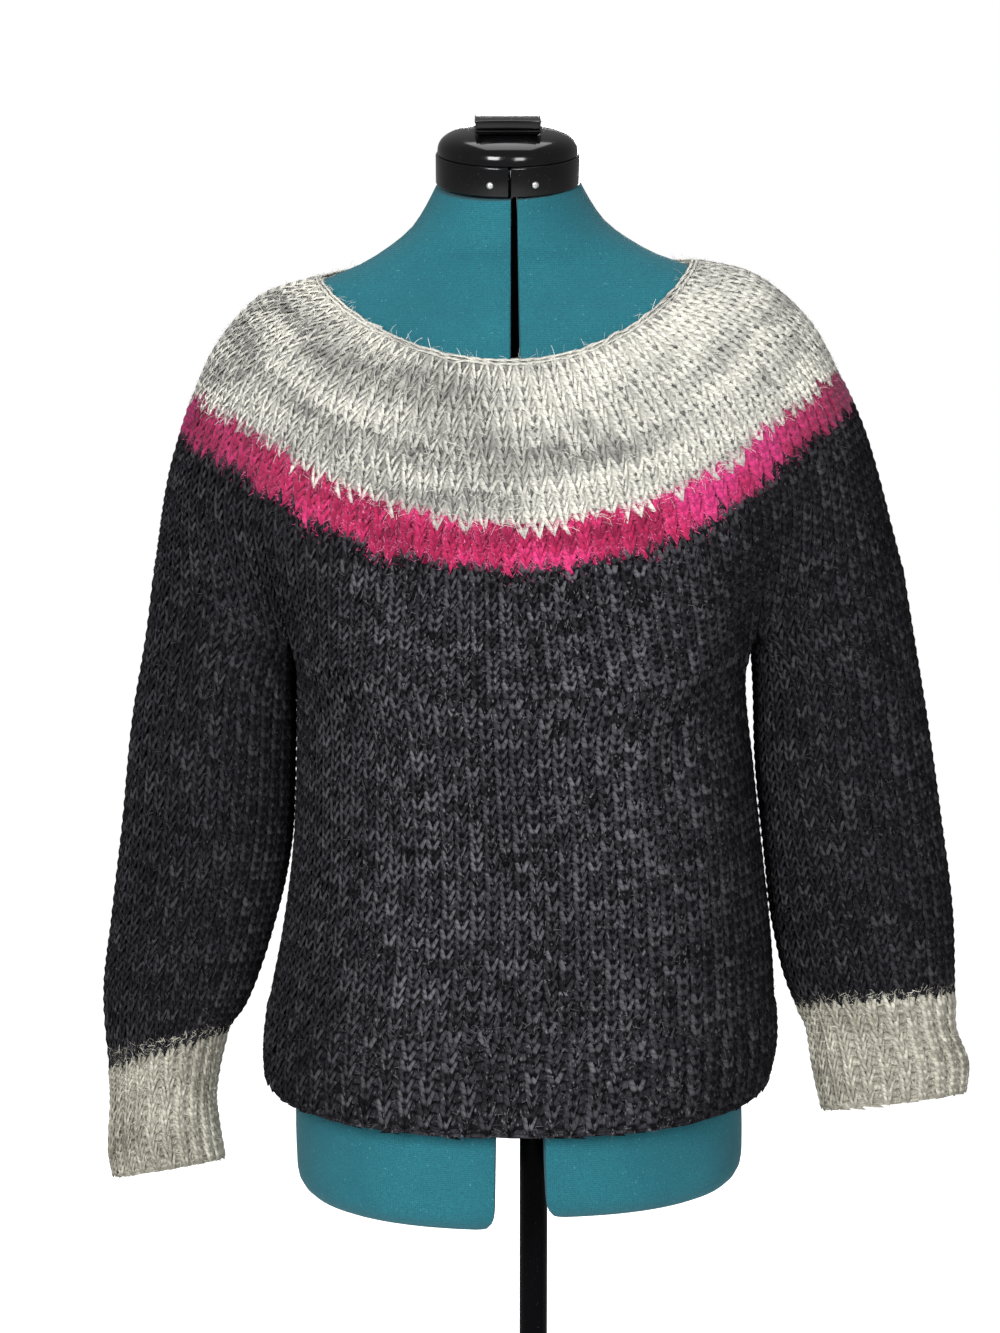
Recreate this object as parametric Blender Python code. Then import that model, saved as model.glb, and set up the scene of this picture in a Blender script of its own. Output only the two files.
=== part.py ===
"""Hand-knitted pullover with a round yoke and one bright stripe, on a limbless dress form.

Metres, +Z up. The floor is z = 0, the garment's front faces -Y, and the pole of the form
stands on the Z axis. "Left" and "right" are as seen from the front: left is -X.

The knitting is one net of wales, the columns of stitches that run from the neck down to the
hem and to the cuffs. Each wale is a smooth curve through the rings of the tables below, so the
yoke, the stripe, the body and the sleeves share their edges and run on into each other.
"""
import math
from collections import namedtuple

import bmesh
import bpy
import numpy as np
from mathutils import Matrix, Vector

# Driving sizes
WALL = 0.003                # thickness of the chunky knitting
SEAM = 0.0004               # space between two pieces along a seam
FIT = 0.0003                # space between two pieces that touch
FORM_X = -0.0121            # the form's middle, beside the pole
CREASE_Y = (-0.038, 0.036)  # where the front and back creases meet the underarm
CREASE_IN = 0.007           # how far a crease is drawn in behind those points
CREASE_SEAM = (0.005, 0.003, 0.001)  # seams are wider in a crease, and in the wales beside it
UNDERARM_PART = 0.0045      # half the space between body and sleeve in a crease
SIDE_BOW = 0.001            # how far the body's side bows out under the arm

FRONT_WALES = 20            # columns of the modelled net across the front, and across the back
UNDERARM_WALES = 4          # down each side of the body, under the arm
ARM_WALES = 18              # over an arm, from crease to crease
SLEEVE_UNDER_WALES = 6      # down the underside of a sleeve
HEM_RIBS = 72
CUFF_RIBS = 24
HEM_RIB_RISE = 0.0016
CUFF_RIB_RISE = 0.0012

# Shares of a ring's length, from the middle of the front round to the right
FRONT_OF_YOKE = 0.149       # half the front, on a ring that takes in both arms
FRONT_OF_BODY = 0.2085      # half the front, on a ring of the body alone
ARM_OF_SLEEVE = 0.39        # half of the arm's share of a sleeve ring, from its outer side

# A ring round the body, or round body and arms: where it lies at its left, right, front, back
Ring = namedtuple("Ring", "left_x left_z right_x right_z front_y front_z back_y back_z square dip")
YOKE_RINGS = [
    Ring(-0.1362, 1.3375, 0.1165, 1.3490, -0.0850, 1.2816, 0.0720, 1.3530, 2.10, 1.6),
    Ring(-0.1785, 1.3230, 0.1620, 1.3370, -0.1030, 1.2430, 0.0970, 1.3190, 2.15, 1.7),
    Ring(-0.2078, 1.2910, 0.1975, 1.3070, -0.1150, 1.2095, 0.1120, 1.2730, 2.16, 2.1),
    Ring(-0.2268, 1.2510, 0.2200, 1.2680, -0.1225, 1.1755, 0.1200, 1.2230, 2.10, 2.6),
    Ring(-0.2369, 1.2205, 0.2322, 1.2430, -0.1285, 1.1440, 0.1235, 1.1930, 2.12, 2.4),
]
UNDERARM_RING = Ring(-0.1540, 1.0830, 0.1575, 1.0900, -0.1335, 1.0620, 0.1205, 1.0700, 2.40, 2.0)
BODY_RINGS = [
    Ring(-0.1545, 1.0550, 0.1560, 1.0580, -0.1325, 1.0330, 0.1200, 1.0400, 2.40, 2.0),
    Ring(-0.1555, 1.0000, 0.1620, 1.0000, -0.1300, 0.9850, 0.1180, 0.9880, 2.40, 2.0),
    Ring(-0.1585, 0.9400, 0.1690, 0.9400, -0.1290, 0.9320, 0.1180, 0.9320, 2.40, 2.0),
    Ring(-0.1670, 0.8780, 0.1762, 0.8760, -0.1310, 0.8760, 0.1200, 0.8760, 2.40, 2.0),
    Ring(-0.1757, 0.8320, 0.1790, 0.8320, -0.1335, 0.8320, 0.1230, 0.8320, 2.40, 2.0),
]
HEM_RINGS = [
    Ring(-0.1795, 0.7980, 0.1795, 0.8020, -0.1350, 0.8000, 0.1240, 0.8000, 2.40, 2.0),
    Ring(-0.1785, 0.7750, 0.1740, 0.7750, -0.1350, 0.7680, 0.1235, 0.7720, 2.40, 2.0),
]

# A ring round a sleeve, as distances from the middle of the body
Sleeve = namedtuple("Sleeve", "in_x in_z out_x out_z half_depth middle_y front_rise")
ARMHOLE = {
    "right": Sleeve(0.1610, 1.0900, 0.2655, 1.1350, 0.0580, -0.002, 0.0),
    "left": Sleeve(0.1560, 1.0830, 0.2537, 1.1350, 0.0570, -0.002, 0.0),
}
SLEEVE_RINGS = {
    "right": [
        Sleeve(0.1635, 1.0580, 0.2725, 1.0950, 0.0560, -0.002, 0.0),
        Sleeve(0.1658, 1.0000, 0.2838, 1.0330, 0.0530, -0.003, 0.0),
        Sleeve(0.1728, 0.9350, 0.2950, 0.9620, 0.0510, -0.004, 0.002),
        Sleeve(0.1800, 0.8800, 0.3045, 0.8930, 0.0490, -0.006, 0.006),
        Sleeve(0.1905, 0.8400, 0.3065, 0.8500, 0.0460, -0.008, 0.010),
        Sleeve(0.1965, 0.8260, 0.3068, 0.8350, 0.0445, -0.009, 0.011),
    ],
    "left": [
        Sleeve(0.1570, 1.0550, 0.2590, 1.0950, 0.0550, -0.002, 0.0),
        Sleeve(0.1580, 1.0000, 0.2700, 1.0330, 0.0520, -0.003, 0.0),
        Sleeve(0.1622, 0.9350, 0.2795, 0.9500, 0.0490, -0.004, 0.002),
        Sleeve(0.1715, 0.8930, 0.2868, 0.8930, 0.0460, -0.006, 0.005),
        Sleeve(0.1945, 0.8270, 0.2935, 0.8230, 0.0410, -0.009, 0.009),
        Sleeve(0.2079, 0.8060, 0.2905, 0.7814, 0.0380, -0.010, 0.009),
    ],
}
CUFF_RINGS = {
    "right": [
        Sleeve(0.2035, 0.8120, 0.3072, 0.8120, 0.0420, -0.010, 0.011),
        Sleeve(0.2090, 0.7820, 0.3165, 0.7850, 0.0415, -0.011, 0.011),
        Sleeve(0.2165, 0.7490, 0.3155, 0.7620, 0.0400, -0.011, 0.011),
    ],
    "left": [
        Sleeve(0.2165, 0.7665, 0.2895, 0.7580, 0.0350, -0.011, 0.009),
        Sleeve(0.2155, 0.7450, 0.2912, 0.7220, 0.0355, -0.012, 0.009),
        Sleeve(0.2110, 0.7140, 0.2885, 0.7010, 0.0350, -0.012, 0.009),
    ],
}

# Large folds: where their middle runs, in wales and rings from the neck, and how deep they go
Fold = namedtuple("Fold", "wale_top wale_low ring_top ring_low half_width depth")
FRONT_FOLDS = [
    Fold(0.80, 0.74, 5.2, 8.0, 0.045, 0.0045),
    Fold(0.17, 0.30, 5.2, 8.6, 0.050, 0.0040),
    Fold(0.52, 0.46, 6.2, 9.6, 0.060, 0.0030),
]
BACK_FOLDS = [
    Fold(0.22, 0.30, 5.2, 8.6, 0.050, 0.0045),
    Fold(0.80, 0.68, 5.2, 9.2, 0.055, 0.0040),
    Fold(0.48, 0.52, 5.8, 9.4, 0.060, 0.0030),
]
RIGHT_ARM_FOLDS = [
    Fold(0.19, 0.24, 4.5, 9.3, 0.055, 0.0045),
    Fold(0.78, 0.70, 5.0, 9.0, 0.060, 0.0045),
]
LEFT_ARM_FOLDS = [
    Fold(0.72, 0.76, 4.8, 7.6, 0.055, 0.0055),
    Fold(0.24, 0.32, 5.0, 9.0, 0.060, 0.0045),
]

# The dress form: rings at a height, from the flat underside to the top of the neck
FormRing = namedtuple("FormRing", "z half_width front_y back_y square")
FORM_RINGS = [
    FormRing(0.6930, 0.1440, -0.1030, 0.1010, 2.3),
    FormRing(0.6955, 0.1530, -0.1120, 0.1090, 2.3),
    FormRing(0.7060, 0.1580, -0.1170, 0.1140, 2.3),
    FormRing(0.7400, 0.1590, -0.1180, 0.1150, 2.3),
    FormRing(0.8000, 0.1560, -0.1160, 0.1140, 2.3),
    FormRing(0.8700, 0.1440, -0.1060, 0.1060, 2.2),
    FormRing(0.9400, 0.1280, -0.0940, 0.0950, 2.1),
    FormRing(1.0000, 0.1260, -0.0950, 0.0890, 2.1),
    FormRing(1.0600, 0.1330, -0.1050, 0.0900, 2.2),
    FormRing(1.1200, 0.1390, -0.1130, 0.0940, 2.3),
    FormRing(1.1800, 0.1450, -0.1090, 0.0980, 2.3),
    FormRing(1.2300, 0.1540, -0.0970, 0.0960, 2.2),
    FormRing(1.2650, 0.1620, -0.0840, 0.0900, 2.1),
    FormRing(1.2900, 0.1670, -0.0720, 0.0820, 2.0),
    FormRing(1.3080, 0.1680, -0.0630, 0.0740, 2.0),
    FormRing(1.3200, 0.1590, -0.0540, 0.0670, 2.0),
    FormRing(1.3305, 0.1440, -0.0490, 0.0600, 2.0),
    FormRing(1.3392, 0.1250, -0.0460, 0.0540, 2.0),
    FormRing(1.3480, 0.1020, -0.0450, 0.0500, 2.0),
    FormRing(1.3600, 0.0810, -0.0490, 0.0490, 2.0),
    FormRing(1.3720, 0.0660, -0.0490, 0.0475, 2.0),
    FormRing(1.3860, 0.0560, -0.0490, 0.0465, 2.0),
    FormRing(1.3985, 0.0478, -0.0508, 0.0448, 2.0),
]
FORM_LEAN = 0.0123          # sideways shift of the form for each metre of height, to the left
SHOULDER_RISE = 0.037       # rise of the shoulders from left to right, for each metre of width
NECK_TILT = math.radians(15.0)
NECK_TILT_FROM = 1.325      # height where the rings begin to tilt forward
SLOT_TOP = 0.004            # width of the slot between the form's halves at the neck
SLOT_BOTTOM = 0.035         # and at its underside
SLOT_SHIFT = 0.004          # how far the slot's top end lies to the right of the form's middle
RIGHT_HEM_RISE = 0.009      # the right half's underside stands higher than the left's
HALF_COLUMNS = 18

NECK_CENTRE = (-0.0086, -0.003, 1.3995)  # middle of the neck ring's underside
RING_RADIUS = 0.0492
RING_HEIGHT = 0.0200
RING_EDGE = 0.0030          # the ring's lower edge is rounded by this much, its upper by a third
CAP_HEIGHT = 0.0170
DOME = [(0.0010, 0.30), (0.0040, 0.58), (0.0100, 0.80), (0.0200, 0.94), (0.0280, 1.00)]
TURN_STEPS = 36
PLATE_SIZE = (0.047, 0.028, 0.0028)
KNOB_SIZE = (0.045, 0.023, 0.0062)
BLOCK_BEVEL = 0.0012
KNOB_Y = -0.014             # in front of the cap's middle
SCREW_RADIUS = 0.0027
SCREW_HEAD = [(1.0, 0.0), (1.0, 0.0006), (0.6, 0.0013), (0.0, 0.0015)]  # radius share, height
SCREW_SPREAD = 0.0150       # each screw beside their middle
SCREW_MIDDLE = 0.0030       # and that middle beside the ring's
SCREW_HEIGHT = 0.0080

POLE_X = -0.0020
POLE_RADIUS = 0.0100
POLE_TOP = 0.7950
WELL_HALF = (0.0130, 0.0180)  # well for the pole in the right half, across and along its face
WELL_TOP = 0.8800
CARRIER_HEIGHT = 0.0600     # block above the pole that carries the two halves
SPINE_TOP = 1.3800          # the spine up the slot ends under this height
COLLAR_RADIUS = 0.0240
COLLAR_HEIGHT = 0.0450
COLLAR_SHOULDER = (0.010, 0.006)  # its sloping top, down its side and in from it
COLLAR_LIP = (0.002, 0.003)       # and the bevel round its bore
BASE_THICK = 0.0160
LEG_REACH = 0.2700
LEG_FORK = 0.0480           # where two legs part, as a distance out along each leg
LEG_ROOT = 0.0240           # half-width of a leg there, and at its end
LEG_TIP = 0.0180

COLOURS = {
    "charcoal": ((0.030, 0.031, 0.034), 0.95, 0.0),
    "marl": ((0.36, 0.35, 0.34), 0.95, 0.0),
    "cuff": ((0.44, 0.41, 0.37), 0.95, 0.0),
    "stripe": ((0.52, 0.035, 0.11), 0.95, 0.0),
    "teal": ((0.030, 0.150, 0.200), 0.85, 0.0),
    "black": ((0.012, 0.012, 0.014), 0.35, 0.0),
    "screw": ((0.80, 0.80, 0.78), 0.40, 0.0),
    "metal": ((0.015, 0.015, 0.017), 0.40, 0.8),
}


def clear_scene():
    """Remove every object of the open file."""
    for item in list(bpy.data.objects):
        bpy.data.objects.remove(item, do_unlink=True)


def material(name):
    """One Principled material from the colour table."""
    known = bpy.data.materials.get(name)
    if known:
        return known
    colour, roughness, metallic = COLOURS[name]
    made = bpy.data.materials.new(name)
    made.use_nodes = True
    shader = made.node_tree.nodes["Principled BSDF"]
    shader.inputs["Base Color"].default_value = (*colour, 1.0)
    shader.inputs["Roughness"].default_value = roughness
    shader.inputs["Metallic"].default_value = metallic
    made.diffuse_color = (*colour, 1.0)
    return made


def add_object(name, mesh_builder, finish, smooth=True):
    """Make an object from a bmesh, with its faces pointing out."""
    bmesh.ops.recalc_face_normals(mesh_builder, faces=mesh_builder.faces)
    mesh = bpy.data.meshes.new(name)
    mesh_builder.to_mesh(mesh)
    mesh_builder.free()
    if smooth:
        mesh.shade_smooth()
        mesh.set_sharp_from_angle(angle=math.radians(50.0))
    made = bpy.data.objects.new(name, mesh)
    made.data.materials.append(material(finish))
    bpy.context.scene.collection.objects.link(made)
    return made


# Rings and wales of the knitting

def power(value, exponent):
    """Signed power, for superellipses."""
    return np.sign(value) * np.abs(value) ** exponent


def ring_point(ring, angle):
    """Points of a body ring at angles from the middle of the front, round to the right."""
    across, ahead = np.sin(angle), np.cos(angle)
    middle = (ring.left_x + ring.right_x) / 2
    half = (ring.right_x - ring.left_x) / 2
    depth = np.where(ahead > 0, -ring.front_y, ring.back_y)
    side_z = (ring.left_z + ring.right_z) / 2 + (ring.right_z - ring.left_z) / 2 * across
    end_z = np.where(ahead > 0, ring.front_z, ring.back_z)
    x = middle + half * power(across, 2 / ring.square)
    y = -depth * power(ahead, 2 / ring.square)
    z = side_z + (end_z - side_z) * np.abs(ahead) ** ring.dip
    return np.stack([x, y, z], -1)


def sleeve_point(ring, side, angle):
    """Points of a sleeve ring at angles from its outer side, round by the front."""
    sign = 1 if side == "right" else -1
    middle_x, half = (ring.in_x + ring.out_x) / 2, (ring.out_x - ring.in_x) / 2
    middle_z, rise = (ring.in_z + ring.out_z) / 2, (ring.out_z - ring.in_z) / 2
    x = sign * (middle_x + half * np.cos(angle))
    y = ring.middle_y - ring.half_depth * np.sin(angle)
    z = middle_z + rise * np.cos(angle) + ring.front_rise * np.sin(angle)
    return np.stack([x, y, z], -1)


def spaced(points, shares):
    """Points at shares of the length of a polyline."""
    steps = np.linalg.norm(np.diff(points, axis=0), axis=1)
    along = np.concatenate([[0], np.cumsum(steps)])
    wanted = np.asarray(shares) * along[-1]
    return np.stack([np.interp(wanted, along, points[:, k]) for k in range(3)], -1)


def softened(points, passes=10):
    """A polyline with its corners rounded and its ends kept."""
    points = points.copy()
    for _ in range(passes):
        points[1:-1] = (points[:-2] + 2 * points[1:-1] + points[2:]) / 4
    return points


def whole_ring(curve, shares):
    """Points of a closed curve at shares of its length, counted from angle zero."""
    shares = np.asarray(shares) % 1.0
    dense = curve(np.linspace(0, 2 * math.pi, 721))
    return spaced(dense, shares)


def crease(side, end):
    """The point where an armhole's crease meets the underarm; end 0 is front, 1 is back."""
    sign = 1 if side == "right" else -1
    edge = UNDERARM_RING.right_x if side == "right" else -UNDERARM_RING.left_x
    inward = CREASE_IN if end == 0 else -CREASE_IN
    height = UNDERARM_RING.right_z if side == "right" else UNDERARM_RING.left_z
    return np.array([sign * (edge + UNDERARM_PART), CREASE_Y[end] + inward, height])


def underarm_run(end):
    """The underarm ring across the front or the back, from crease to crease."""
    depth = -UNDERARM_RING.front_y if end == 0 else UNDERARM_RING.back_y
    reach = math.acos((abs(CREASE_Y[end]) / depth) ** (UNDERARM_RING.square / 2))
    middle = 0.0 if end == 0 else math.pi
    run = ring_point(UNDERARM_RING, np.linspace(middle - reach, middle + reach, 121))
    first, last = ("left", "right") if end == 0 else ("right", "left")
    return softened(np.vstack([crease(first, end), run, crease(last, end)]))


def armhole_run(side):
    """The underarm ring over one arm, from crease to crease, in the yoke's direction."""
    ring = ARMHOLE[side]
    front = math.pi - math.asin((-CREASE_Y[0] + ring.middle_y) / ring.half_depth)
    back = -(math.pi - math.asin((CREASE_Y[1] - ring.middle_y) / ring.half_depth))
    run = sleeve_point(ring, side, np.linspace(front, back, 121))
    run = np.vstack([crease(side, 0), run, crease(side, 1)])
    return softened(run if side == "right" else run[::-1])


def front_or_back_wales(end, shares):
    """Every ring across the front or the back, from the neck edge to the hem's edge."""
    shares = np.asarray(shares)
    start = -FRONT_OF_YOKE if end == 0 else 0.5 - FRONT_OF_YOKE
    low = -FRONT_OF_BODY if end == 0 else 0.5 - FRONT_OF_BODY
    rows = [whole_ring(lambda a, r=ring: ring_point(r, a), start + 2 * FRONT_OF_YOKE * shares)
            for ring in YOKE_RINGS]
    rows.append(spaced(underarm_run(end), shares))
    rows += [whole_ring(lambda a, r=ring: ring_point(r, a), low + 2 * FRONT_OF_BODY * shares)
             for ring in BODY_RINGS + HEM_RINGS]
    return np.array(rows)


def arm_wales(side, shares):
    """Every ring over one arm, from the neck edge to the cuff's edge."""
    shares = np.asarray(shares)
    start = FRONT_OF_YOKE if side == "right" else 0.5 + FRONT_OF_YOKE
    span = 0.5 - 2 * FRONT_OF_YOKE
    rows = [whole_ring(lambda a, r=ring: ring_point(r, a), start + span * shares)
            for ring in YOKE_RINGS]
    rows.append(spaced(armhole_run(side), shares))
    turn = 1 if side == "right" else -1
    low = turn * ARM_OF_SLEEVE * (1 - 2 * shares)
    rows += [whole_ring(lambda a, r=ring: sleeve_point(r, side, a), low)
             for ring in SLEEVE_RINGS[side] + CUFF_RINGS[side]]
    return np.array(rows)


def body_side_wales(side, shares):
    """The body's rings under one arm, from crease to crease."""
    shares = np.asarray(shares)
    middle = 0.25 if side == "right" else 0.75
    reach = 0.25 - FRONT_OF_BODY
    turn = np.linspace(-1, 1, 41)
    sign = 1 if side == "right" else -1
    first, last = (0, 1) if side == "right" else (1, 0)
    edge = UNDERARM_RING.right_x if side == "right" else UNDERARM_RING.left_x
    height = UNDERARM_RING.right_z if side == "right" else UNDERARM_RING.left_z
    y = np.linspace(CREASE_Y[first], CREASE_Y[last], 41)
    top = np.stack([edge - sign * SIDE_BOW * np.abs(turn), y, np.full(41, height)], -1)
    rows = [spaced(top, shares)]
    rows += [whole_ring(lambda a, r=ring: ring_point(r, a), middle - reach + 2 * reach * shares)
             for ring in BODY_RINGS + HEM_RINGS]
    return np.array(rows)


def sleeve_under_wales(side, shares):
    """The sleeve's rings down its underside, from crease to crease."""
    shares = np.asarray(shares)
    turn = 1 if side == "right" else -1
    ring = ARMHOLE[side]
    front = math.pi - math.asin((-CREASE_Y[0] + ring.middle_y) / ring.half_depth)
    back = math.pi + math.asin((CREASE_Y[1] - ring.middle_y) / ring.half_depth)
    angles = np.linspace(back, front, 41) if side == "right" else np.linspace(front, back, 41)
    rows = [spaced(sleeve_point(ring, side, angles), shares)]
    low = -turn * (ARM_OF_SLEEVE + (1 - 2 * ARM_OF_SLEEVE) * shares)
    rows += [whole_ring(lambda a, r=ring: sleeve_point(r, side, a), low)
             for ring in SLEEVE_RINGS[side] + CUFF_RINGS[side]]
    return np.array(rows)


def at_levels(rows, levels):
    """Points and downward directions on smooth wales through rows, at fractional rows."""
    gaps = np.linalg.norm(np.diff(rows, axis=0), axis=2).mean(axis=1)
    slopes = np.empty_like(rows)
    slopes[0] = (rows[1] - rows[0]) / gaps[0]
    slopes[-1] = (rows[-1] - rows[-2]) / gaps[-1]
    for k in range(1, len(rows) - 1):
        before = (rows[k] - rows[k - 1]) / gaps[k - 1]
        after = (rows[k + 1] - rows[k]) / gaps[k]
        slopes[k] = (before * gaps[k] + after * gaps[k - 1]) / (gaps[k] + gaps[k - 1])
    points, downs = [], []
    for level in levels:
        k = min(int(level), len(rows) - 2)
        t, h = level - k, gaps[k]
        points.append((2 * t**3 - 3 * t**2 + 1) * rows[k] + (t**3 - 2 * t**2 + t) * h * slopes[k]
                      + (3 * t**2 - 2 * t**3) * rows[k + 1] + (t**3 - t**2) * h * slopes[k + 1])
        downs.append(((6 * t**2 - 6 * t) * rows[k] + (6 * t - 6 * t**2) * rows[k + 1]) / h
                     + (3 * t**2 - 4 * t + 1) * slopes[k] + (3 * t**2 - 2 * t) * slopes[k + 1])
    points, downs = np.array(points), np.array(downs)
    return points, downs / np.linalg.norm(downs, axis=2, keepdims=True)


def outward(points, downs, closed):
    """Unit normals of a grid of points, away from the wearer."""
    if closed:
        across = np.roll(points, -1, axis=1) - np.roll(points, 1, axis=1)
    else:
        across = np.gradient(points, axis=1)
    normals = np.cross(downs, across)
    return normals / np.linalg.norm(normals, axis=2, keepdims=True)


def fold_depth(folds, shares, levels):
    """How far folds draw a strip of wales in, at each level and share of the strip."""
    depth = np.zeros((len(levels), len(shares)))
    for fold in folds:
        for i, level in enumerate(levels):
            t = (level - fold.ring_top) / (fold.ring_low - fold.ring_top)
            if not 0 < t < 1:
                continue
            middle = fold.wale_top + (fold.wale_low - fold.wale_top) * t
            across = np.exp(-((np.asarray(shares) - middle) / fold.half_width) ** 2)
            depth[i] += fold.depth * math.sin(math.pi * t) * across
    return depth


def crease_seams(corners, count):
    """Seam widths along a closed edge, wider beside the wales where creases meet it."""
    widths = np.full(count, SEAM)
    for corner in corners:
        for away, width in enumerate(CREASE_SEAM):
            for column in {(corner - away) % count, (corner + away) % count}:
                widths[column] = max(widths[column], width)
    return widths


def wall(name, finish, points, downs, closed, drop=None, rise=None, edges=(SEAM, SEAM)):
    """A wall of knitting on a grid of outer points, trimmed back at its two ends."""
    points = points.copy()
    points[0] += downs[0] * np.reshape(edges[0], (-1, 1)) / 2
    points[-1] -= downs[-1] * np.reshape(edges[1], (-1, 1)) / 2
    normals = outward(points, downs, closed)
    if drop is not None:
        points = points - normals * drop[:, :, None]
    inner = points - normals * WALL
    outer = points if rise is None else points + normals * rise[:, :, None]
    shift = np.array([FORM_X, 0, 0])
    rows, columns = points.shape[:2]
    build = bmesh.new()
    skins = [[[build.verts.new(skin[i, j] + shift) for j in range(columns)]
              for i in range(rows)] for skin in (outer, inner)]
    last = columns if closed else columns - 1
    out, inn = skins
    for j in range(last):
        k = (j + 1) % columns
        for i in range(rows - 1):
            build.faces.new((out[i][j], out[i + 1][j], out[i + 1][k], out[i][k]))
            build.faces.new((inn[i][j], inn[i][k], inn[i + 1][k], inn[i + 1][j]))
        build.faces.new((out[0][j], out[0][k], inn[0][k], inn[0][j]))
        build.faces.new((out[-1][j], inn[-1][j], inn[-1][k], out[-1][k]))
    if not closed:
        for i in range(rows - 1):
            build.faces.new((out[i][0], inn[i][0], inn[i + 1][0], out[i + 1][0]))
            build.faces.new((out[i][-1], out[i + 1][-1], inn[i + 1][-1], inn[i][-1]))
    return add_object(name, build, finish)


def steps(count):
    """Even shares of a strip, from its first edge; the last edge is the next strip's first."""
    return np.arange(count) / count


def build_yoke():
    """The yoke, the stripe and the dark band down to the underarm, as three rings."""
    rows = [front_or_back_wales(0, steps(FRONT_WALES)), arm_wales("right", steps(ARM_WALES)),
            front_or_back_wales(1, steps(FRONT_WALES)), arm_wales("left", steps(ARM_WALES))]
    shared = min(len(strip) for strip in rows)
    net = np.concatenate([strip[:shared] for strip in rows], axis=1)
    strips = [(FRONT_FOLDS, FRONT_WALES), (RIGHT_ARM_FOLDS, ARM_WALES),
              (BACK_FOLDS, FRONT_WALES), (LEFT_ARM_FOLDS, ARM_WALES)]
    corners = np.cumsum([0, FRONT_WALES, ARM_WALES, FRONT_WALES])
    low_seam = crease_seams(corners, net.shape[1])
    bands = [("yoke", "marl", np.linspace(0, 3, 6), (0.0, SEAM)),
             ("stripe", "stripe", np.linspace(3, 4, 2), (SEAM, SEAM)),
             ("lower_yoke", "charcoal", np.linspace(4, 5, 5), (SEAM, low_seam))]
    for name, finish, levels, edges in bands:
        points, downs = at_levels(net, levels)
        drop = np.concatenate([fold_depth(folds, steps(count), levels)
                               for folds, count in strips], axis=1)
        wall(name, finish, points, downs, True, drop=drop, edges=edges)


def body_strips(front_steps, side_steps):
    """The four strips of the body's tube, each with its levels counted from the neck."""
    return [front_or_back_wales(0, steps(front_steps))[5:],
            body_side_wales("right", steps(side_steps)),
            front_or_back_wales(1, steps(front_steps))[5:],
            body_side_wales("left", steps(side_steps))]


def build_body():
    """Front and back with seams down the sides, and the ribbed hem below them."""
    net = np.concatenate(body_strips(FRONT_WALES, UNDERARM_WALES), axis=1)
    levels = np.linspace(0, 5, 8)
    points, downs = at_levels(net, levels)
    none = np.zeros((len(levels), UNDERARM_WALES))
    drop = np.concatenate([fold_depth(FRONT_FOLDS, steps(FRONT_WALES), levels + 5), none,
                           fold_depth(BACK_FOLDS, steps(FRONT_WALES), levels + 5), none], axis=1)
    count = points.shape[1]
    normals = outward(points, downs, True)
    points = points - normals * drop[:, :, None]
    top_seam = crease_seams(np.cumsum([0, FRONT_WALES, UNDERARM_WALES, FRONT_WALES]), count)
    half = count // 2
    first = FRONT_WALES + UNDERARM_WALES // 2
    for name, start in (("front", first - half), ("back", first)):
        columns = [(start + j) % count for j in range(half + 1)]
        panel = points[:, columns].copy()
        across = np.gradient(panel, axis=1)
        across /= np.linalg.norm(across, axis=2, keepdims=True)
        panel[:, 0] += across[:, 0] * SEAM / 2
        panel[:, -1] -= across[:, -1] * SEAM / 2
        wall(name, "charcoal", panel, downs[:, columns], False, edges=(top_seam[columns], SEAM))
    ribs = 2 * HEM_RIBS // (FRONT_WALES * 2 + UNDERARM_WALES * 2)
    net = np.concatenate(body_strips(FRONT_WALES * ribs, UNDERARM_WALES * ribs), axis=1)
    points, downs = at_levels(net, [5, 6, 7])
    rise = np.tile(HEM_RIB_RISE * (np.arange(points.shape[1]) % 2), (3, 1))
    wall("hem", "charcoal", points, downs, True, rise=rise, edges=(SEAM, 0.0))


def build_sleeve(side):
    """One sleeve and its ribbed cuff."""
    folds = RIGHT_ARM_FOLDS if side == "right" else LEFT_ARM_FOLDS
    net = np.concatenate([arm_wales(side, steps(ARM_WALES))[5:],
                          sleeve_under_wales(side, steps(SLEEVE_UNDER_WALES))], axis=1)
    levels = np.linspace(0, 6, 10)
    points, downs = at_levels(net, levels)
    none = np.zeros((len(levels), SLEEVE_UNDER_WALES))
    drop = np.concatenate([fold_depth(folds, steps(ARM_WALES), levels + 5), none], axis=1)
    top_seam = crease_seams((0, ARM_WALES), points.shape[1])
    wall("sleeve_" + side, "charcoal", points, downs, True, drop=drop, edges=(top_seam, SEAM))
    ribs = 2 * CUFF_RIBS // (ARM_WALES + SLEEVE_UNDER_WALES)
    net = np.concatenate([arm_wales(side, steps(ARM_WALES * ribs))[5:],
                          sleeve_under_wales(side, steps(SLEEVE_UNDER_WALES * ribs))], axis=1)
    points, downs = at_levels(net, [6, 7, 8, 9])
    rise = np.tile(CUFF_RIB_RISE * (np.arange(points.shape[1]) % 2), (4, 1))
    wall("cuff_" + side, "cuff", points, downs, True, rise=rise, edges=(SEAM, 0.0))


# The dress form

def form_place(point):
    """Lean a point of the upright form to the left and raise its right shoulder."""
    x, y, z = point
    hip = FORM_RINGS[0].z
    share = (z - hip) / (FORM_RINGS[-1].z - hip)
    tilt = min(max((z - NECK_TILT_FROM) / (FORM_RINGS[-1].z - NECK_TILT_FROM), 0.0), 1.0)
    lifted = z + x * SHOULDER_RISE * share + y * math.tan(NECK_TILT) * tilt
    return Vector((x - FORM_LEAN * (z - hip) + FORM_X, y, lifted))


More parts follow.
